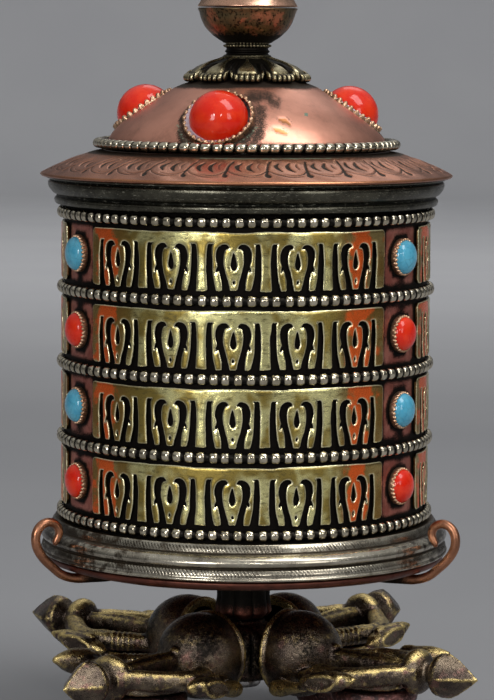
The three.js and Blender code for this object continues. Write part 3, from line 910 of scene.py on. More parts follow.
def build_top_moulding():
    """Dark moulding that the lid sits on."""
    profile = [(48.4, 143.0), (50.3, 143.0), (50.75, 143.35), (51.0, 144.0), (50.9, 144.6), (50.35, 144.95),
               (50.35, 145.5), (51.1, 145.8), (51.7, 146.4), (52.35, 147.3), (52.65, 148.2), (52.5, 149.0),
               (52.05, 149.3), (52.1, 149.6), (52.9, 149.75), (53.05, 150.1), (52.8, 150.4), (48.4, 150.4)]
    profile = turned_profile(profile, 0.25, 3, 0.5)

    def form(az, r, z):
        grain = grain_over(az, r, z)
        r = r + (r > 49.5) * (0.07 * grain(8, 21) + 0.035 * grain(1.1, 22, 3))
        dark = peak(z, 145.2, 0.4) + peak(z, 149.45, 0.25) + smooth((143.4 - z) / 0.4)
        return r, z, {"dark": np.clip(dark, 0, 1)}

    return revolve(profile, 600, form)


def build_bottom_plate():
    """Plate under the drum, a little buckled."""
    profile = [(5.3, 48.0), (51.4, 48.0), (52.8, 48.5), (53.5, 49.3), (53.55, 49.9), (53.3, 50.2),
               (5.3, 50.2)]
    profile = turned_profile(profile, 0.3, 3, 2.5)

    def form(az, r, z):
        grain = grain_over(az, r, z)
        low = z < 49.4
        z = z + low * smooth((r - 6) / 4) * (0.18 * grain(15, 31) - 0.05)
        r = r + (r > 50) * 0.16 * grain(11, 32)
        return r, z, {"dark": 0.35 * smooth((50.4 - r) / 20)}

    return revolve(profile, 300, form)


def build_bush():
    """Fluted bush that the drum runs on, darker at its top and in its flutes as painted shade."""
    profile = [(3.25, 31.9), (6.4, 31.9), (7.7, 33.2), (7.5, 35.0), (7.1, 37.5), (7.2, 41.0), (7.8, 45.2),
               (8.0, 47.2), (7.6, 47.7), (5.0, 47.7), (5.0, 52.5), (3.25, 52.5)]
    profile = turned_profile(profile, 0.5, 3, 1.0)

    def form(az, r, z):
        lobes = abs(np.cos(4 * az)) ** 0.6
        outer = smooth((r - 5.2) / 1.2) * smooth((47.4 - z) / 1.2)
        flute = outer * (1 - lobes)
        # Painted shade: darker towards the top, under the drum, and in the flutes.
        dark = np.maximum(0.8 * flute, 0.35 + 0.6 * smooth((z - 33) / 5))
        return r - 0.75 * flute, z + 0.6 * flute * smooth((34 - z) / 2), {"dark": dark}

    return revolve(profile, 160, form)


def build_hook(azimuth, reach):
    """Flat leaf under the plate that runs on as round wire into an open curl, in a plane through the axle."""
    shift = np.array([0, 0, 0, 0, 0] + [reach] * 9)
    centre = np.array([(28, 46.95), (34, 46.95), (41, 46.95), (47, 46.7), (51, 46.5), (54.8, 47.6),
                       (57.8, 49.9), (60.6, 52.6), (62.4, 55.6), (62.6, 58.6), (61.2, 61), (58.8, 61.8),
                       (56.6, 60.7), (55.9, 58.6)])
    centre[:, 0] += shift
    width = [0.25, 1.5, 2.15, 1.75, 1.3, 1.22, 1.2, 1.2, 1.2, 1.2, 1.18, 1.15, 1.12, 1.05]
    thick = [0.35, 0.62, 0.70, 0.80, 1.1, 1.2, 1.2, 1.2, 1.2, 1.2, 1.18, 1.15, 1.12, 1.05]
    tail = (57 + reach, 56.3)
    rows = np.column_stack([centre, width, thick])
    rows = np.vstack([rows, [tail[0], tail[1], 0.85, 0.85], [tail[0] + 0.45, tail[1] - 0.55, 0.3, 0.3]])
    line = spline(rows, 7)
    path = np.column_stack([np.zeros(len(line)), -line[:, 0], line[:, 1]])
    made = limb(path, line[:, 2:4], 20, 2.2, up=(1, 0, 0))
    made.points += 0.045 * np.column_stack([noise(made.points, 2.6, 41 + k) for k in range(3)])
    made.marks["dark"] = np.clip(smooth((-made.points[:, 1] - 54) / -8) * 0.75, 0, 1)
    return made.moved(Matrix.Rotation(math.radians(azimuth), 4, "Z"))


def build_scroll():
    """The rolled prayer: its layers show as a spiral on both ends, with one outer edge."""
    turns, r_in, r_out = 15, 5.9, 44.4
    across = np.linspace(r_in, r_out, turns * 6)
    profile = [(r_in, 51.0)] + [(r, 50.9) for r in across] + [(r_out + 0.05, 60)]
    profile += [(r_out + 0.05, z) for z in np.linspace(70, 132, 8)]
    profile += [(r, 142.3) for r in np.linspace(r_out, r_in, turns * 6)] + [(r_in, 130), (r_in, 70)]

    def form(az, r, z):
        layer = (r - r_in) / (r_out - r_in) * turns - az / TAU
        seam = abs(layer - np.round(layer)) * 2
        ends = (z < 51.1) | (z > 142.2)
        groove = ends * (1 - smooth(seam * 2.6))
        depth = 0.7 * groove + ends * 0.25 * np.sin(np.floor(layer + 0.5) * 2.4)
        z = z + np.where(z > 100, -depth, depth)
        outer = smooth((r - r_out + 0.3) / 0.2)
        r = np.where(ends, r, r + outer * (-0.35 * (az / TAU)))
        return r, z, {"dark": groove * 0.9}

    return revolve(profile, 180, form)


def build_core():
    """Wooden core that the prayer is wound on."""
    profile = turned_profile([(3.7, 52.8), (5.5, 52.8), (5.5, 146), (3.7, 146)], 0.35, 3, 4)
    return revolve(profile, 48, lambda az, r, z: (r + 0.05 * grain_over(az, r, z)(6, 55), z))


def add_drum():
    """Everything that turns below the lid."""
    drum = "drum"
    piece("shell", build_shell(), "drum_copper", drum, "drum_shell")
    for i in range(ROWS + 1):
        ring = beaded_ring(98, DRUM_R + 0.3, 50.25, WIRE_Z + ROW_PITCH * i, 1.42, share=0.315, seed=100 + i,
                           neck=0.5, square=5)
        piece(f"drum_beads_{i + 1}", ring, "silver", drum, f"beaded_wire_{i + 1}")
    for row in range(ROWS):
        for k in range(len(PANELS)):
            name = f"{PANELS[k]}_{row + 1}"
            band = build_band(PANEL_AZ + 360 / len(PANELS) * k, row_z(row), 200 + 10 * row + k)
            piece(f"frieze_{name}", band, "band_brass", drum, f"ornament_band_{name}", sharp=50)
            place = outward_from_drum(column_az(k), row_z(row))
            name = f"{COLUMNS[k]}_{row + 1}"
            kind = "turquoise" if row % 2 else "coral"
            stone = cabochon(4.45, DRUM_R + 0.9, 2.75, 2.2, 300 + 10 * row + k).moved(place)
            piece(f"cabochon_{name}", stone, kind, drum, f"drum_stone_{name}")
            collar = serrated_bezel(4.45, 4.85, DRUM_R - 0.2, DRUM_R + 1.4, 26, 0.7, 400 + 10 * row + k)
            piece(f"bezel_{name}", collar.moved(place), "bezel", drum, "drum_shell")
    piece("base_moulding_turned", build_base_moulding(), "moulding_silver", drum, "base_moulding")
    piece("top_moulding_turned", build_top_moulding(), "pewter", drum, "top_moulding")
    piece("bottom_plate_sheet", build_bottom_plate(), "dark_copper", drum, "bottom_plate")
    piece("bush_fluted", build_bush(), "dark_copper", drum, "lower_bush")
    for side, (azimuth, reach) in HOOKS.items():
        piece(f"hook_{side}", build_hook(azimuth, reach), "hook_copper", drum, f"spin_hook_{side}")
    piece("rolled_prayer", build_scroll(), "paper", drum, "prayer_scroll")
    piece("core", build_core(), "core_wood", drum, "scroll_core")


# ------------------------------------------------------------------ lid
def build_brim():
    """Sloping brim with its chased pattern, and the collar that pushes into the drum."""
    slope = [(54.72, 150.75), (54.5, 151.2), (51.4, 152.65), (46.4, 154.75), (40.85, 156.75), (37.6, 157.3)]
    top = turned_profile(slope, 0.8, 3, 0.27, closed=False)
    under = [(37.6, 156.5), (40.8, 155.95), (45.6, 154.1), (45.6, 144), (46.6, 144), (46.6, 153.7),
             (51.3, 151.75), (54.3, 150.35)]
    profile = np.vstack([top, turned_profile(under, 0.2, 2, 2.0, closed=False)])
    repeats, chased_r = 30, 47

    def form(az, r, z):
        grain = grain_over(az, r, z)
        outside = z > 150.6 + (54.72 - r) * 0.36
        wave = grain(14, 61)
        pitch = TAU / repeats
        u = (az / pitch + 0.5) % 1 - 0.5
        x = u * pitch * chased_r
        v = (54.7 - r) / math.cos(math.radians(23))
        y = v + 0.35 * grain(5, 62)
        x = x + 0.25 * grain(4, 63)
        cut = np.zeros(r.shape)
        for line, depth in BRIM_CUTS:
            path = curved(line)
            for shift in (-1, 0, 1):
                d = stroke(x + shift * pitch * chased_r, y, path)
                cut = np.maximum(cut, depth * (1 - smooth((d + 0.08) / 0.26)))
        cut = cut * outside * (r > 40.9) * (0.75 + 0.25 * grain(6, 64))
        swell = np.cos(TAU * (u + 0.06 * y)) * smooth(y / 2) * smooth((13 - y) / 3)
        z = z - 0.34 * cut + np.where(outside, 0.10 * wave + 0.13 * swell, 0)
        foot = smooth((43.4 - r) / 2.4) * outside
        # Darker towards the back and sides, away from the front: painted shade.
        side = 0.16 * smooth(0.5 - np.cos(az - math.radians(20))) * outside
        dark = np.clip(1.25 * cut + 0.78 * foot + 0.16 * wave + side, 0, 1)
        front = smooth(np.cos(az - math.radians(8)) * 3 - 2.1)
        green = front * outside * peak(r, 41.6, 0.35)
        bare = outside * smooth((r - 54.05) / 0.4) * 0.9
        return r, z, {"dark": dark * (1 - smooth(green * 2)), "verdigris": green, "bare": bare * 0.55}

    return revolve(profile, 1260, form)


# One repeat of the brim's chasing: x along the rim, y up the slope from the edge, half width; then its depth.
BRIM_CUTS = (
    (((-1.2, 11.6, 0.10), (-2.2, 9.8, 0.42), (-2.2, 7.9, 0.46), (-1.2, 6.2, 0.08)), 1.0),
    (((1.8, 11.4, 0.10), (0.7, 9.6, 0.46), (0.8, 7.8, 0.46), (1.9, 6.1, 0.08)), 1.0),
    (((3.6, 10.8, 0.05), (2.9, 9.0, 0.22), (3.3, 7.0, 0.06)), 0.6),
    (((-3.4, 12.6, 0.20), (-4.2, 9.6, 0.22), (-4.9, 6.2, 0.26), (-5.2, 4.0, 0.30)), 1.0),
    (((-4.9, 6.6, 0.10), (-3.0, 4.4, 0.16), (-0.2, 3.1, 0.20), (3.2, 3.4, 0.06)), 0.7),
    (((5.0, 6.4, 0.12), (3.6, 4.9, 0.18), (1.2, 4.1, 0.16), (-1.4, 4.7, 0.05)), 0.7),
    (((-5.4, 4.6, 0.10), (-4.9, 3.6, 0.62), (-4.6, 2.8, 0.10)), 1.0),
)


def stone_points():
    """Name, azimuth, lean, collar top and centre of each lid ball."""
    for name, (azimuth, r, z, lean, top) in LID_SETTINGS.items():
        a = math.radians(azimuth)
        yield name, azimuth, lean, top, np.array([r * math.sin(a), -r * math.cos(a), z])


# Height that the smear, the gouges and the dot beside the front stone are measured from.
SMEAR_Z = 167.0


def marks_by_front_stone(x, y, rough):
    """How dark, bare and green a smear, two gouges and a dot leave the sheet right of the front stone."""
    smear = stroke(x, y, [(6.5, 4.6, 1.2), (11, 4.6, 1.0), (14.5, 2.8, 0.25)])
    smear = np.minimum(smear, stroke(x, y, [(10.0, 1.0, 1.3), (11.4, -3.8, 1.3), (10.2, -7.5, 1.0)]))
    dark = 0.70 * (1 - smooth((smear + 1.7 * rough + 0.7) / 3.0))
    bare = np.zeros(x.shape)
    for line in (((15.6, -0.6, 0.15), (17.2, -1.0, 0.55), (19.2, -2.0, 0.12)),
                 ((15.0, -3.2, 0.15), (16.8, -3.6, 0.5), (18.8, -4.2, 0.12))):
        gouge = stroke(x, y, line)
        bare = np.maximum(bare, 1 - smooth((gouge + 0.1) / 0.3))
        dark = np.maximum(dark, 0.5 * peak(gouge, 0.35, 0.22))
    dot = stroke(x, y, [(23.0, 0.4, 0.35), (23.4, 0.2, 0.35)])
    return dark, bare, 1 - smooth(dot / 0.25)


def build_dome():
    """Raised dome, pressed in around its four settings, with grime, verdigris and gouges marked."""
    outside = spline([(37.35, 157.7), (36.6, 160.2), (34.2, 163.4), (30.5, 166.7), (26.6, 169.4),
                      (19.9, 173.3), (16, 175), (10, 176.9), (3, 177.9)], 6)
    outside = np.vstack([outside, [[0, 178.0]]])
    inside = spline([(3, 176.9), (10, 175.9), (19.4, 172.4), (26, 168.6), (33.4, 162.9), (36.3, 157.7)], 4)
    profile = np.vstack([[[0, 177.0]], inside, outside])

    def form(az, r, z):
        p = around(az, r, z)
        grain = grain_over(az, r, z)
        outer = np.zeros(r.shape, bool)
        outer[:, len(inside):] = True
        z = z + outer * 0.12 * grain(13, 71) * smooth((r - 4) / 8)
        rough = grain(2.2, 72, 3)
        broad = grain(7, 73, 2)
        dark, green = np.zeros(r.shape), np.zeros(r.shape)
        for _, azimuth, lean, top, centre in stone_points():
            turn, tip = math.radians(azimuth), math.radians(lean)
            outwards = math.sin(tip)
            axis = np.array([math.sin(turn) * outwards, -math.cos(turn) * outwards, math.cos(tip)])
            height = ((p - centre) @ axis).reshape(r.shape)
            near = np.linalg.norm(p - centre, axis=1).reshape(r.shape)
            across = np.sqrt(np.maximum(near ** 2 - height ** 2, 0))
            seat = np.where(outer, top - 1.25, top - 2.2)
            push = np.maximum(0, height - seat) * (1 - smooth((across - 9.5) / 1.1))
            push = push * (height > -6)
            r = r - push * outwards * np.cos(az - turn)
            z = z - push * math.cos(tip)
            beyond = near - 9.6 - 1.2 * broad - 1.5 * smooth((165 - z) / 4)
            dark = np.maximum(dark, 0.75 - 0.75 * smooth(beyond / 1.8))
            green = np.maximum(green, 0.52 * peak(near, 10.6, 0.8) * (z < 165))
        arc = (az - math.radians(LID_SETTINGS["front"][0]) + math.pi) % TAU - math.pi
        smeared, bare, spotted = marks_by_front_stone(arc * r, z - SMEAR_Z, rough)
        dark, green = np.maximum(dark, smeared), np.maximum(green, spotted)
        z = z - outer * 0.22 * bare
        crown = smooth((21.2 + 1.2 * broad - r) / 3.6)
        rim = smooth((r - 36.0) / 1.0) * (0.62 + 0.4 * broad)
        dark = np.maximum(dark, np.maximum(0.92 * crown, rim)) + 0.16 * rough * (dark > 0.1)
        return r, z, {"dark": np.clip(dark, 0, 1) * outer, "verdigris": green * outer, "bare": bare * outer}

    return revolve(profile, 720, form)


def dome_place(azimuth, lean, centre):
    """Takes +Z to the lean of a lid setting at that azimuth."""
    turn = Matrix.Rotation(math.radians(azimuth), 4, "Z") @ Matrix.Rotation(math.radians(lean), 4, "X")
    return Matrix.Translation(Vector(centre)) @ turn


def build_ball(seed):
    """Coral ball of the lid, cut flat where it sits."""
    radius = 7.7
    turn = np.linspace(math.radians(-12), math.pi / 2, 30)
    sphere = [(radius * math.cos(a), radius * math.sin(a)) for a in turn[:-1]]
    profile = [(0, sphere[0][1])] + sphere + [(0, radius)]

    def form(az, r, z):
        lumps = grain_over(az, r, z)(8, seed)
        scale = 1 + 0.010 * lumps
        return r * scale, z * scale

    return revolve(profile, 72, form)


def build_bedding(top, seed):
    """Setting cement between a lid ball and its collar, paler and higher on the left."""
    profile = np.array([(7.0, -1.2), (8.7, -1.2), (8.7, top - 0.6), (8.1, top - 0.75), (7.0, top - 0.6)])
    profile = dense(profile, 0.5)

    def form(az, r, z):
        gap = smooth(0.25 + 1.4 * np.cos(az - math.radians(120)))
        left = smooth(-0.2 - 1.4 * np.sin(az))
        lumps = grain_over(az, r, z)(1.6, seed)
        z = z + (z > -1) * (0.55 * left - 0.5 * gap + 0.12 * lumps)
        # Black where the cement sinks away in the gap: painted shade.
        return r, z, {"dark": gap + 0.3 * (1 - left) * (1 - gap)}

    return revolve(profile, 90, form)


def build_lotus():
    """Ten petals pressed into a collar, with thick milled lips, and the ringed neck above them."""
    petals = 10
    collar = spline([(15.7, 175.2), (16.6, 175.45), (17.0, 176.1), (16.8, 176.9), (16.1, 177.35),
                     (15.2, 177.5), (13.4, 178.7), (10.4, 180.1), (7.9, 180.9), (6.6, 181.4)], 6)
    neck = []
    for z in np.linspace(181.5, 185.3, 43):
        rings = 0.75 * math.exp(-((z - 184.75) / 0.36) ** 4) + 0.8 * math.exp(-((z - 181.9) / 0.55) ** 4)
        neck.append((5.55 + rings + 0.35 * math.exp(-((z - 183.3) / 0.3) ** 4), z))
    under = [(0, 178.3), (5, 177.95), (10, 177.2), (13, 176.3), (14.9, 175.4)]
    profile = np.vstack([dense(np.array(under), 1.2, closed=False), collar, neck, [(6.2, 185.6), (0, 185.6)]])

    def form(az, r, z):
        inset = abs((az / TAU * petals + 0.5) % 1 - 0.5) * 2
        top_of_neck = z > 181.4
        outer = smooth((r - 9) / 6)
        lip = smooth((r - 15.3) / 0.6) * ~top_of_neck
        body = ~top_of_neck * (z > 177.35)
        notch = inset ** 5
        milled = np.cos(az * 70)
        cells = peak(inset, 0.74, 0.11) * smooth((r - 9.5) / 1.5) * smooth((16.0 - r) / 0.6)
        narrowing = 0.42 * (1 - smooth((r - 8.5) / 6))
        triangle = smooth((0.62 - inset - narrowing) * 5) * smooth((15.6 - r) / 0.5)
        between = peak(inset, 1, 0.07) * smooth((r - 7.4) / 1.5)
        z = z + body * (0.60 * triangle - 0.50 * cells)
        z = z + ~top_of_neck * outer * (1.7 * notch - 0.35 * between)
        beads = np.cos(az * 40) * top_of_neck * (z > 184.2)
        r = r * (1 - 0.135 * outer * notch * ~top_of_neck) + 0.20 * lip * milled + 0.10 * beads
        neck_dark = 0.92 - 0.35 * (beads > 0.2) - 0.3 * (r > 6.05)
        collar_dark = 0.8 + 0.3 * cells + 0.3 * between - 0.85 * triangle
        dark = np.where(top_of_neck, neck_dark, collar_dark)
        dark = np.where(lip > 0.3, 0.22 - 0.75 * milled + 0.8 * between, dark)
        dark = np.where(z < 175.6, 0.95, dark)
        return r, z, {"dark": np.clip(dark, 0, 1)}

    return revolve(profile, 1120, form)


def build_finial_bowl():
    """Lower bowl of the finial, hammered out of round."""
    profile = spline([(6.3, 185.55), (8.9, 187.3), (11, 189.4), (12.1, 191.5), (12.7, 193.3),
                      (13.15, 194.3)], 7)
    profile = np.vstack([[(0, 185.5), (5.8, 185.5)], profile, [(13.2, 194.6), (12.9, 194.72), (0, 194.72)]])

    def form(az, r, z):
        grain = grain_over(az, r, z)
        r = r + (r > 6) * 0.12 * grain(6, 81) + 0.05 * (r > 12.7) * grain(2, 82)
        dark = 0.95 * smooth((189.0 - z) / 2.6) + 0.25 * grain(3, 83, 3)
        return r, z, {"dark": np.clip(dark, 0, 1)}

    return revolve(profile, 240, form)


def build_finial_cap():
    """Upper cap of the finial, its lip a little wavy, ending in a bud."""
    profile = spline([(13.2, 195.1), (12.3, 196.8), (11.4, 199.4), (9.2, 202.2), (6, 204.2), (3.8, 205.1),
                      (3.25, 206.1), (4.3, 207.5), (4.75, 209.3), (3.7, 211.8), (1.6, 214.2)], 7)
    profile = np.vstack([[(0, 194.98), (12.9, 194.95)], profile, [(0, 215.0)]])

    def form(az, r, z):
        grain = grain_over(az, r, z)
        wavy = grain_over(az, np.full(r.shape, 13.0), np.full(r.shape, 195.0))(4.2, 91)
        lip = smooth((197.4 - z) / 1.6) * (r > 11)
        r = r + lip * 0.16 * wavy + (r > 5) * 0.08 * grain(6, 92)
        z = z + lip * 0.10 * (wavy + 1) * 0.4
        dark = 0.9 * peak(z, 205.9, 0.5) + 0.35 * peak(z, 196.9, 0.3) * (r > 11)
        return r, z, {"dark": np.clip(dark, 0, 1)}

    return revolve(profile, 240, form)


def add_lid():
    """Everything that lifts off with the lid."""
    lid = "lid"
    piece("brim_chased", build_brim(), "brim_copper", lid, "lid_brim")
    ring = beaded_ring(84, 38.0, 40.85, 159.0, 1.32, share=0.44, slant=0.16, seed=150, steps=14, neck=0.52,
                       square=2.8)
    piece("lid_beads", ring, "silver", lid, "lid_beaded_wire")
    piece("dome_raised", build_dome(), "dome_copper", lid, "lid_dome")
    for i, (name, azimuth, lean, top, centre) in enumerate(stone_points()):
        place = dome_place(azimuth, lean, centre)
        piece(f"ball_{name}", build_ball(160 + i).moved(place), "coral", lid, f"lid_stone_{name}")
        bedding = build_bedding(top, 165 + i).moved(place)
        piece(f"ball_bedding_{name}", bedding, "cement", lid, f"lid_stone_{name}")
        collar = serrated_bezel(8.6, 9.25, -1.6, top, 29, 0.9, 170 + i).moved(place)
        piece(f"lid_bezel_{name}", collar, "bezel", lid, "lid_dome")
    piece("lotus_collar", build_lotus(), "lotus", lid, "finial_lotus")
    piece("finial_bowl_raised", build_finial_bowl(), "bowl_patina", lid, "finial_lower_bowl")
    piece("finial_cap_raised", build_finial_cap(), "cap_copper", lid, "finial_cap")
    cup = [(3.3, 169.5), (3.3, 165), (6, 165), (6, 175.9), (1.2, 175.9), (1.2, 172.8)]
    cup = turned_profile(cup, 0.4, 3, 1.5)
    piece("bearing_cup", revolve(cup, 48), "bearing_brass", lid, "top_bearing")


# ------------------------------------------------------------------ stand
def fused(name, shape, voxel, smoothing):
    """Overlapping solids melted into one skin, in millimetres."""
    mesh = mesh_of(name + "_parts", shape, scale=1.0, origin=0.0)
    obj = bpy.data.objects.new(name + "_parts", mesh)
    bpy.context.scene.collection.objects.link(obj)
    remesh = obj.modifiers.new("skin", "REMESH")
    remesh.mode, remesh.voxel_size, remesh.use_smooth_shade = "VOXEL", voxel, True
    soft = obj.modifiers.new("soft", "SMOOTH")
    soft.factor, soft.iterations = 0.5, smoothing
    evaluated = obj.evaluated_get(bpy.context.evaluated_depsgraph_get())
    skin = bpy.data.meshes.new_from_object(evaluated)
    bpy.data.objects.remove(obj)
    bpy.data.meshes.remove(mesh)
    points = np.zeros(len(skin.vertices) * 3)
    skin.vertices.foreach_get("co", points)
    corners = np.zeros(len(skin.loops), int)
    skin.loops.foreach_get("vertex_index", corners)
    sizes = np.array([len(p.vertices) for p in skin.polygons])
    starts = np.concatenate([[0], np.cumsum(sizes)[:-1]])
    faces = [corners[starts[sizes == k][:, None] + np.arange(k)] for k in (3, 4) if (sizes == k).any()]
    bpy.data.meshes.remove(skin)
    return Shape(points.reshape(-1, 3), faces)


def curvature(shape, rounds):
    """How proud (positive) or hollow (negative) the surface is at each point in mm, and its normal there."""
    edges = []
    for f in shape.faces:
        edges += [np.stack([f[:, k], f[:, (k + 1) % f.shape[1]]], 1) for k in range(f.shape[1])]
    edges = np.vstack(edges)
    n = len(shape.points)
    degree = np.bincount(edges.ravel(), minlength=n)[:, None]
    normal = np.zeros((n, 3))
    for f in shape.faces:
        p = shape.points[f]
        face = np.cross(p[:, 2] - p[:, 0], p[:, -1] - p[:, 1])
        for k in range(f.shape[1]):
            for axis in range(3):
                normal[:, axis] += np.bincount(f[:, k], face[:, axis], n)
    normal /= np.linalg.norm(normal, axis=1, keepdims=True) + 1e-9
    flat = shape.points
    for _ in range(rounds):
        total = np.zeros((n, 3))
        for axis in range(3):
            total[:, axis] = np.bincount(edges[:, 0], flat[edges[:, 1], axis], n)
            total[:, axis] += np.bincount(edges[:, 1], flat[edges[:, 0], axis], n)
        flat = total / degree
    return np.einsum("ij,ij->i", shape.points - flat, normal), normal


# Side prongs that leave the bowl lower down than the rest.
LOW_ROOTS = (("front_left", 1), ("front_right", -1))

# How far each arm's two elbow heads stand from the common pattern, along, across and up, and their girth.
ELBOWS = {
    "front_right": {-1: (0.5, 0.5, 1.4, 1.0), 1: (2.0, 1.5, 1.8, 1.1)},
    "front_left": {1: (0.0, 0.5, 0.4, 1.0), -1: (4.0, 0.6, 3.0, 1.3)},
    "back_left": {1: (0.0, 0.3, 1.3, 1.0), -1: (0.0, 0.0, 1.0, 1.0)},
    "back_right": {-1: (0.0, 0.0, 1.5, 1.0), 1: (1.0, 0.0, 1.0, 1.0)},
}


def even_limb(path, wide, high, sides, up=(0, 0, 1)):
    """A limb of one width and height all along."""
    return limb(path, np.tile([wide, high], (len(path), 1)), sides, up=up)


def arm_bowl():
    """Round bowl with a thick lip, open towards the axle, and the bosses under its mouth and at its back."""
    inner, outer, mouth = 9.9, 11.45, -5
    first, last = math.asin(mouth / inner), math.asin(mouth / outer)
    wall = [(inner * math.cos(a), inner * math.sin(a)) for a in np.linspace(math.pi / 2, first, 24)]
    wall += [(outer * math.cos(a), outer * math.sin(a)) for a in np.linspace(last, math.pi / 2, 28)]
    wall[0], wall[-1] = (0, inner), (0, outer)
    turn = np.linspace(0, TAU, 12, endpoint=False)
    lip = [(10.5 + 1.0 * math.cos(a), -4.8 + 0.9 * math.sin(a)) for a in turn]
    lay = Matrix.Translation((BOWL_AT, 0, ARM_Z)) @ Matrix.Rotation(math.pi / 2, 4, "Y")
    bowl = revolve(wall, 72).moved(lay) + revolve(lip, 72).moved(lay)
    return bowl + (blob((13.2, 0, 15.2), (4.2, 4.2, 2.0)) + blob((30.4, 0.4, 26.6), (1.3, 1.7, 1.5)))


def middle_prong():
    """Straight prong with a ridge along its top, thinning into the collar."""
    u = np.linspace(28.6, 60, 90)
    wide = 2.1 - 0.5 * smooth((u - 48) / 8)
    high = 2.5 - 0.6 * smooth((u - 48) / 8)
    prong = limb(np.column_stack([u, 0 * u, ARM_Z + 0.2 + 0 * u]), np.column_stack([wide, high]), 20, 2.4)
    ridge = spline([(30, 0, 26.2), (40, 0, 26.8), (50, 0, 26.4), (56, 0, 25.2)], 6)
    return prong + even_limb(ridge, 0.5, 0.7, 10)


def side_prong(side, drop):
    """Out from the bowl's back, ribbed as far as its elbow, then back in to the collar."""
    line = spline([(22.8, 4.8, 22.3 - drop, 1.2, 0.9), (25.8, 6.9, 22.3 - drop, 2.8, 2.3 - 0.3 * drop),
                   (28.8, 9.0, 22.4 - drop, 2.6, 2.4 - 0.25 * drop),
                   (32.2, 11.3, 22.6 - drop / 2, 2.4, 2.5), (36, 13.4, 22.8, 2.5, 2.5),
                   (42, 14.6, 22.8, 2.8, 2.6), (48, 11.6, 23.2, 2.8, 2.6), (53, 7.2, 23.7, 2.6, 2.6),
                   (58, 3.0, 24, 2.2, 2.4)], 12)
    step = np.arange(len(line))
    ribs = 0.22 * np.cos(step * TAU / 4) * smooth((50 - step) / 6) * smooth((step - 20) / 12)
    prong = limb(line[:, :3] * [1, side, 1], line[:, 3:] + ribs[:, None], 22, 2.4)
    crest = line[44:-8, :3] * [1, side * 0.985, 1] + [0, 0, 2.0]
    return prong + even_limb(crest, 0.6, 0.8, 10)


def elbow_head(side, along, across, up, girth):
    """A leaf-shaped head with an open, rimmed jaw on its outer face, and the neck that carries it."""
    shift = np.array([along, across * side, up])
    leaf = spline([(32.2, 18.6, 19.6, 0.5, 0.5), (34.5, 18.9, 19.9, 2.2, 1.9), (38.5, 18.9, 20.6, 2.9, 2.7),
                   (43, 18.9, 21.4, 2.9, 2.7), (47, 19.3, 22.2, 2.1, 1.9), (50.4, 20.2, 22.9, 0.5, 0.5)], 6)
    head = limb(leaf[:, :3] * [1, side, 1] + shift, leaf[:, 3:] * girth, 18, 2.2)
    neck = np.array([(42.5, 13.5 * side, 22.5), (42, 16.5 * side, 21.8), (41, 19 * side, 21)])
    head += even_limb(neck + np.linspace(0.2, 1, 3)[:, None] * shift, 2.5, 2.3, 14)
    turn = np.linspace(0, TAU, 29)[:-1]
    jaw = np.column_stack([40.5 + 4.6 * np.cos(turn), (21.3 + 0.2 * np.cos(turn)) * side,
                           21.0 + 1.75 * np.sin(turn) + 0.75 * np.cos(turn)])
    head += even_limb(np.vstack([jaw, jaw[:2]]) + shift, 0.78, 0.78, 10, up=(0, 1, 0))
    head += blob(shift + (45.6, 20.6 * side, 22.3), (1.8, 1.6, 1.7))
    return head + blob(shift + (38.6, 18.6 * side, 22.9), (2.6, 1.6, 1.3))


def mouth_curl(side):
    """Curl beside the bowl's mouth."""
    line = spline([(18.6, 11.6, 16.6, 0.6, 0.6), (20.4, 12.6, 16.9, 2.3, 2.1), (23.6, 13.6, 17.5, 2.6, 2.2),
                   (27.2, 15.2, 18.3, 2.0, 1.7), (31, 17.4, 19.2, 1.6, 1.4), (34, 18.6, 19.8, 1.2, 1.2)], 6)
    root = np.array([(18.6, 8.2 * side, 18.0), (20.2, 10.2 * side, 17.2), (22.0, 12.4 * side, 16.9)])
    return limb(line[:, :3] * [1, side, 1], line[:, 3:], 18) + even_limb(root, 1.7, 1.7, 14)


def arm_pad():
    """Flat pad between the side prongs, where the foot is fixed."""
    line = spline([(31.8, 0, 20.3, 5.5, 1.2), (35, 0, 20.3, 9.6, 1.5), (43, 0, 20.4, 12.2, 1.7),
                   (51, 0, 20.3, 8.8, 1.5), (53.5, 0, 20.3, 4.5, 1.0)], 6)
    return limb(line[:, :3], line[:, 3:], 36, 3.0)


def arm_collar():
    """Lens-shaped collar where the prongs meet."""
    lens = [(6.0 * math.cos(a) ** 0.7, 3.3 * math.sin(a)) for a in np.linspace(-1.45, 1.45, 17)]
    lens = [(0, -3.3)] + lens + [(0, 3.3)]
    lay = Matrix.Translation((56.5, 0, ARM_Z)) @ Matrix.Rotation(math.pi / 2, 4, "Y")
    return revolve(lens, 40).moved(lay)


def arm_point():
    """Four-sided point, its corners up, down and sideways, round where it springs from the collar."""
    sides = 48
    u = np.array([58.5, 61.0, 62.0, 63.2, 64.8, 66.8, 69.3, 72.1, 74.2, 75.0])
    reach = np.array([2.6, 2.8, 4.2, 5.8, 6.3, 6.0, 4.6, 2.5, 0.8, 0.2])
    corner = smooth((u - 63.5) / 4.5)[:, None]
    turn = np.arange(sides) * TAU / sides
    diamond = 1 / (abs(np.cos(turn)) + abs(np.sin(turn)))
    radius = reach[:, None] * ((1 - corner) * 0.93 + corner * diamond[None] ** 0.92)
    along = np.tile(u[:, None], (1, sides))
    rows = np.stack([along, radius * np.cos(turn), ARM_Z + radius * np.sin(turn)], -1)
    halves = np.concatenate([rows[:-1] + (rows[1:] - rows[:-1]) * t for t in (0, 0.5)], 1)
    rings = np.concatenate([halves.reshape(-1, sides, 3), rows[-1:]])
    return tube(rings, [u[0], 0, ARM_Z], [75.1, 0, ARM_Z])


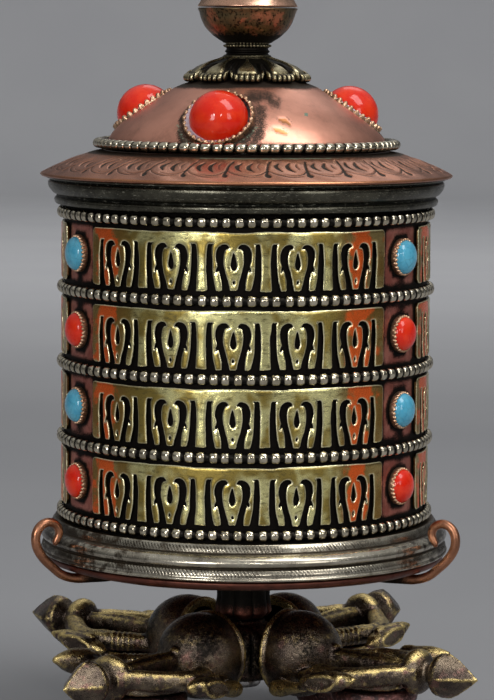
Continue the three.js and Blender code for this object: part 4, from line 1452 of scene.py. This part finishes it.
def wear_arm(skin):
    """Roughens the casting and marks its worn ridges and dark hollows, with painted shade over the bowls, and
    painted light on the bowls' tops and on faces that look up.
    """
    proud, normal = curvature(skin, 14)
    p = skin.points
    from_bowl = np.linalg.norm(p - [BOWL_AT, 0, ARM_Z], axis=1)
    bowl, inside = from_bowl < 11.9, from_bowl < 10.6
    tip = p[:, 0] > 60
    rough = np.where(bowl, 0.06, np.where(tip, 0.07, 0.19))
    skin.points = p + normal * (rough * noise(p, 1.9, 500, 3) + 0.5 * rough * noise(p, 5.5, 501))[:, None]
    lip = peak(p[:, 0], 13.6, 1.7) * bowl
    worn = 0.10 + 2.0 * np.clip(proud, -0.3, 0.5) - 0.10 * bowl
    # Gold on the bowls' worn lips; the lighter tops of the bowls are a painted reflection.
    worn += 0.85 * lip + 0.3 * bowl * smooth((p[:, 2] - 25) / 5)
    worn += 0.22 * (p[:, 2] < 19) * ~bowl * (abs(p[:, 1]) > 6)
    # Lighter gold on faces that look up: painted highlight.
    worn += 0.36 * smooth((normal[:, 2] - 0.25) / 0.5) * ~bowl * ~tip
    fillet = smooth((15.5 - from_bowl) / 3)
    hollow = np.clip(-2.2 * proud, 0, 1) * (1 - 0.7 * fillet) + 0.8 * inside * (p[:, 0] > 14.6)
    patch = np.linalg.norm([p[:, 0] - 26, abs(p[:, 1]) - 6.5, p[:, 2] - 28.5], axis=0)
    # Painted shade over the bowls, deepest in a patch on their outer side.
    shade = bowl * (0.28 + 0.55 * np.exp(-(patch / 4.5) ** 2) + 0.30 * noise(p, 6, 502))
    skin.marks = {"worn": np.clip(worn, 0, 1), "dark": np.clip(hollow + shade * (1 - lip), 0, 1)}


def build_arm(name):
    """One arm of the crossed vajra along +X, its parts fused into one casting."""
    whole = arm_bowl() + middle_prong()
    for side in (-1, 1):
        whole += side_prong(side, 2.0 if (name, side) in LOW_ROOTS else 0.0)
        whole += elbow_head(side, *ELBOWS[name][side])
        whole += mouth_curl(side)
    whole += arm_pad() + arm_collar() + arm_point()
    skin = fused("arm", whole, 0.36, 3)
    wear_arm(skin)
    return skin


def build_hub():
    """Hub with petals around it, between the four arms, darkened all over as painted shade and more between
    its petals.
    """
    profile = [(3.3, 15.5), (8.4, 15.5), (9.4, 16.6), (9.8, 18.2), (9.5, 20.5), (9.7, 24), (9.5, 26.6),
               (8.2, 28.6), (7.4, 29.6), (6.2, 30.4), (5.6, 31.6), (3.3, 31.6)]
    profile = turned_profile(profile, 0.5, 3, 0.7)

    def form(az, r, z):
        petals = abs(np.cos(6 * az)) ** 0.5
        outer = smooth((r - 6.2) / 1.5) * smooth((z - 16.5) / 2) * smooth((29 - z) / 2)
        hollow = outer * (1 - petals)
        # Painted shade: the whole hub is darkened, more between the petals.
        return r - 0.55 * hollow, z, {"dark": 0.6 + 0.4 * hollow, "worn": 0.25 * petals}

    return revolve(profile, 192, form)


def build_foot(seed):
    """Turned foot with a pinched waist and a rough skin."""
    profile = [(0, 0), (8.2, 0), (9.6, 0.8), (10.7, 2.6), (11.4, 5.6), (11.3, 8.2), (10.4, 10.8),
               (9.5, 12.4), (9.35, 13.3), (10.2, 14.2), (11.1, 15.2), (11.5, 16.4), (11.2, 17.6),
               (10.6, 18.5), (0, 18.5)]
    profile = turned_profile(profile, 0.6, 3, 0.8, closed=False)

    def form(az, r, z):
        grain = grain_over(az, r, z)
        top = smooth((z - 14) / 2) * smooth((r - 8) / 2)
        amount = smooth((r - 6) / 3) * smooth(z / 1.2)
        lumps = 0.16 * grain(6, seed) + (0.10 + 0.12 * top) * grain(1.7, seed + 1)
        return r + amount * lumps, z

    return revolve(profile, 128, form)


def add_stand():
    """The crossed vajra, its feet and the axle."""
    stand = "stand"
    for i, (corner, angle) in enumerate(ARM_AZ.items()):
        turn = Matrix.Rotation(math.radians(angle), 4, "Z")
        arm = build_arm(corner).moved(turn)
        piece(f"arm_cast_{corner}", arm, "cast_bronze", stand, f"vajra_arm_{corner}")
        place = turn @ Matrix.Translation((FOOT_AT, 0, 0))
        piece(f"foot_turned_{corner}", build_foot(600 + i).moved(place), "foot_copper", stand,
              f"foot_{corner}")
    piece("hub_cast", build_hub(), "cast_bronze", stand, "vajra_hub")
    rod = [(0, 13), (4.2, 13), (4.8, 13.7), (4.85, 14.8), (4.5, 15.25), (3, 15.3), (3, 166.8), (2.2, 168.6),
           (0.7, 171.3), (0, 171.6)]
    rod = turned_profile(rod, 0.3, 3, 2.0, closed=False)
    piece("axle_turned", revolve(rod, 40), "axle_steel", stand, "axle_rod")


add_drum()
add_lid()
add_stand()


# ------------------------------------------------------------------ studio
def build_stage():
    """Pale floor that sweeps up into a low wall all round."""
    sides, bend = 96, 0.5
    profile = [(0.4, 0), (1.0, 0), (2.2, 0)]
    turn = np.linspace(0, math.pi / 2, 16)
    profile += [(2.8 + bend * math.sin(a), bend - bend * math.cos(a)) for a in turn]
    rows = np.array(profile)
    az, r = np.meshgrid(np.arange(sides) * TAU / sides, rows[:, 0], indexing="ij")
    points = np.vstack([around(az, r, np.tile(rows[:, 1], (sides, 1))), [0, 0, 0]])
    columns = len(rows)
    middle = [[(i + 1) % sides * columns, i * columns, sides * columns] for i in range(sides)]
    mesh = bpy.data.meshes.new("floor")
    mesh.from_pydata(points.tolist(), [], grid_faces(sides, columns, True, False).tolist() + middle)
    mesh.polygons.foreach_set("use_smooth", [True] * len(mesh.polygons))
    floor = bpy.data.objects.new("floor", mesh)
    floor.location.z = FLOOR - 0.0002
    bpy.context.scene.collection.objects.link(floor)
    f = Finish("studio_floor", Roughness=0.8)
    cloud = f.noise(160, 2, 0.5)
    f.set(Base_Color=f.mix(f.spread(cloud, 0, 1), (0.280, 0.280, 0.291), (0.293, 0.293, 0.302)))
    mesh.materials.append(f.material)


def area_light(name, azimuth, elevation, distance, size, power, aim_z=0.11):
    """A softbox aimed at the object. Azimuth 0 is in front of it."""
    a, e = math.radians(azimuth), math.radians(elevation)
    light = bpy.data.lights.new(name, "AREA")
    light.shape, light.size, light.size_y = "RECTANGLE", size[0], size[1]
    light.energy = power
    obj = bpy.data.objects.new(name, light)
    aim = Vector((ORIGIN[0], ORIGIN[1], aim_z))
    away = Vector((math.sin(a) * math.cos(e), -math.cos(a) * math.cos(e), math.sin(e)))
    obj.location = aim + away * distance
    obj.rotation_mode = "QUATERNION"
    obj.rotation_quaternion = away.to_track_quat("Z", "Y")
    bpy.context.scene.collection.objects.link(obj)


def wash_backdrop():
    """A strip light over the object that lights only the sweep behind it."""
    light = bpy.data.lights.new("backdrop", "AREA")
    light.shape, light.size, light.size_y, light.energy = "RECTANGLE", 2.4, 0.3, 25.5
    obj = bpy.data.objects.new("backdrop", light)
    obj.location = (0, 1.3, 1.2)
    obj.rotation_mode = "QUATERNION"
    obj.rotation_quaternion = Vector((0, -1, 0.55)).to_track_quat("Z", "Y")
    bpy.context.scene.collection.objects.link(obj)


def build_camera():
    """Long lens, a little above the object, as the photograph was taken."""
    data = bpy.data.cameras.new("camera")
    data.lens, data.sensor_width = 157.7, 36.0
    data.clip_start, data.clip_end = 0.05, 20
    camera = bpy.data.objects.new("camera", data)
    place = Matrix.Translation(Vector(ORIGIN) + Vector((0.00049, -0.8152, 0.18667)))
    camera.matrix_world = (place @ Matrix.Rotation(math.radians(90 - 5.80), 4, "X")
                           @ Matrix.Rotation(math.radians(0.417), 4, "Z"))
    bpy.context.scene.collection.objects.link(camera)
    bpy.context.scene.camera = camera


def build_world():
    """Dim even room light, brighter from above."""
    world = bpy.data.worlds.new("studio")
    bpy.context.scene.world = world
    world.use_nodes = True
    tree = world.node_tree
    background = tree.nodes["Background"]
    split = tree.nodes.new("ShaderNodeSeparateXYZ")
    tree.links.new(tree.nodes.new("ShaderNodeTexCoord").outputs["Generated"], split.inputs[0])
    rise = tree.nodes.new("ShaderNodeMapRange")
    rise.interpolation_type = "SMOOTHSTEP"
    for key, value in (("From Min", 0.10), ("From Max", 0.90), ("To Min", 0.07), ("To Max", 0.45)):
        rise.inputs[key].default_value = value
    tree.links.new(split.outputs["Z"], rise.inputs["Value"])
    tree.links.new(rise.outputs[0], background.inputs["Strength"])
    background.inputs["Color"].default_value = (0.96, 0.98, 1.0, 1)


build_stage()
build_world()
area_light("overhead", 54, 60, 1.35, (0.55, 1.0), 10.0)
area_light("softbox_left", -25, 12, 1.5, (0.40, 0.50), 5.6, aim_z=0.13)
area_light("softbox_right", 40, 16, 1.5, (0.36, 0.60), 3.0, aim_z=0.13)
area_light("lamp_left", -20, 21, 1.35, (0.10, 0.11), 1.2, aim_z=0.15)
area_light("lamp_right", 9, 21, 1.35, (0.10, 0.11), 1.1, aim_z=0.15)
area_light("back", 170, 46, 1.5, (0.7, 0.6), 1.25)
wash_backdrop()
build_camera()
scene = bpy.context.scene
scene.view_settings.view_transform = "Standard"
scene.view_settings.exposure = 0.0
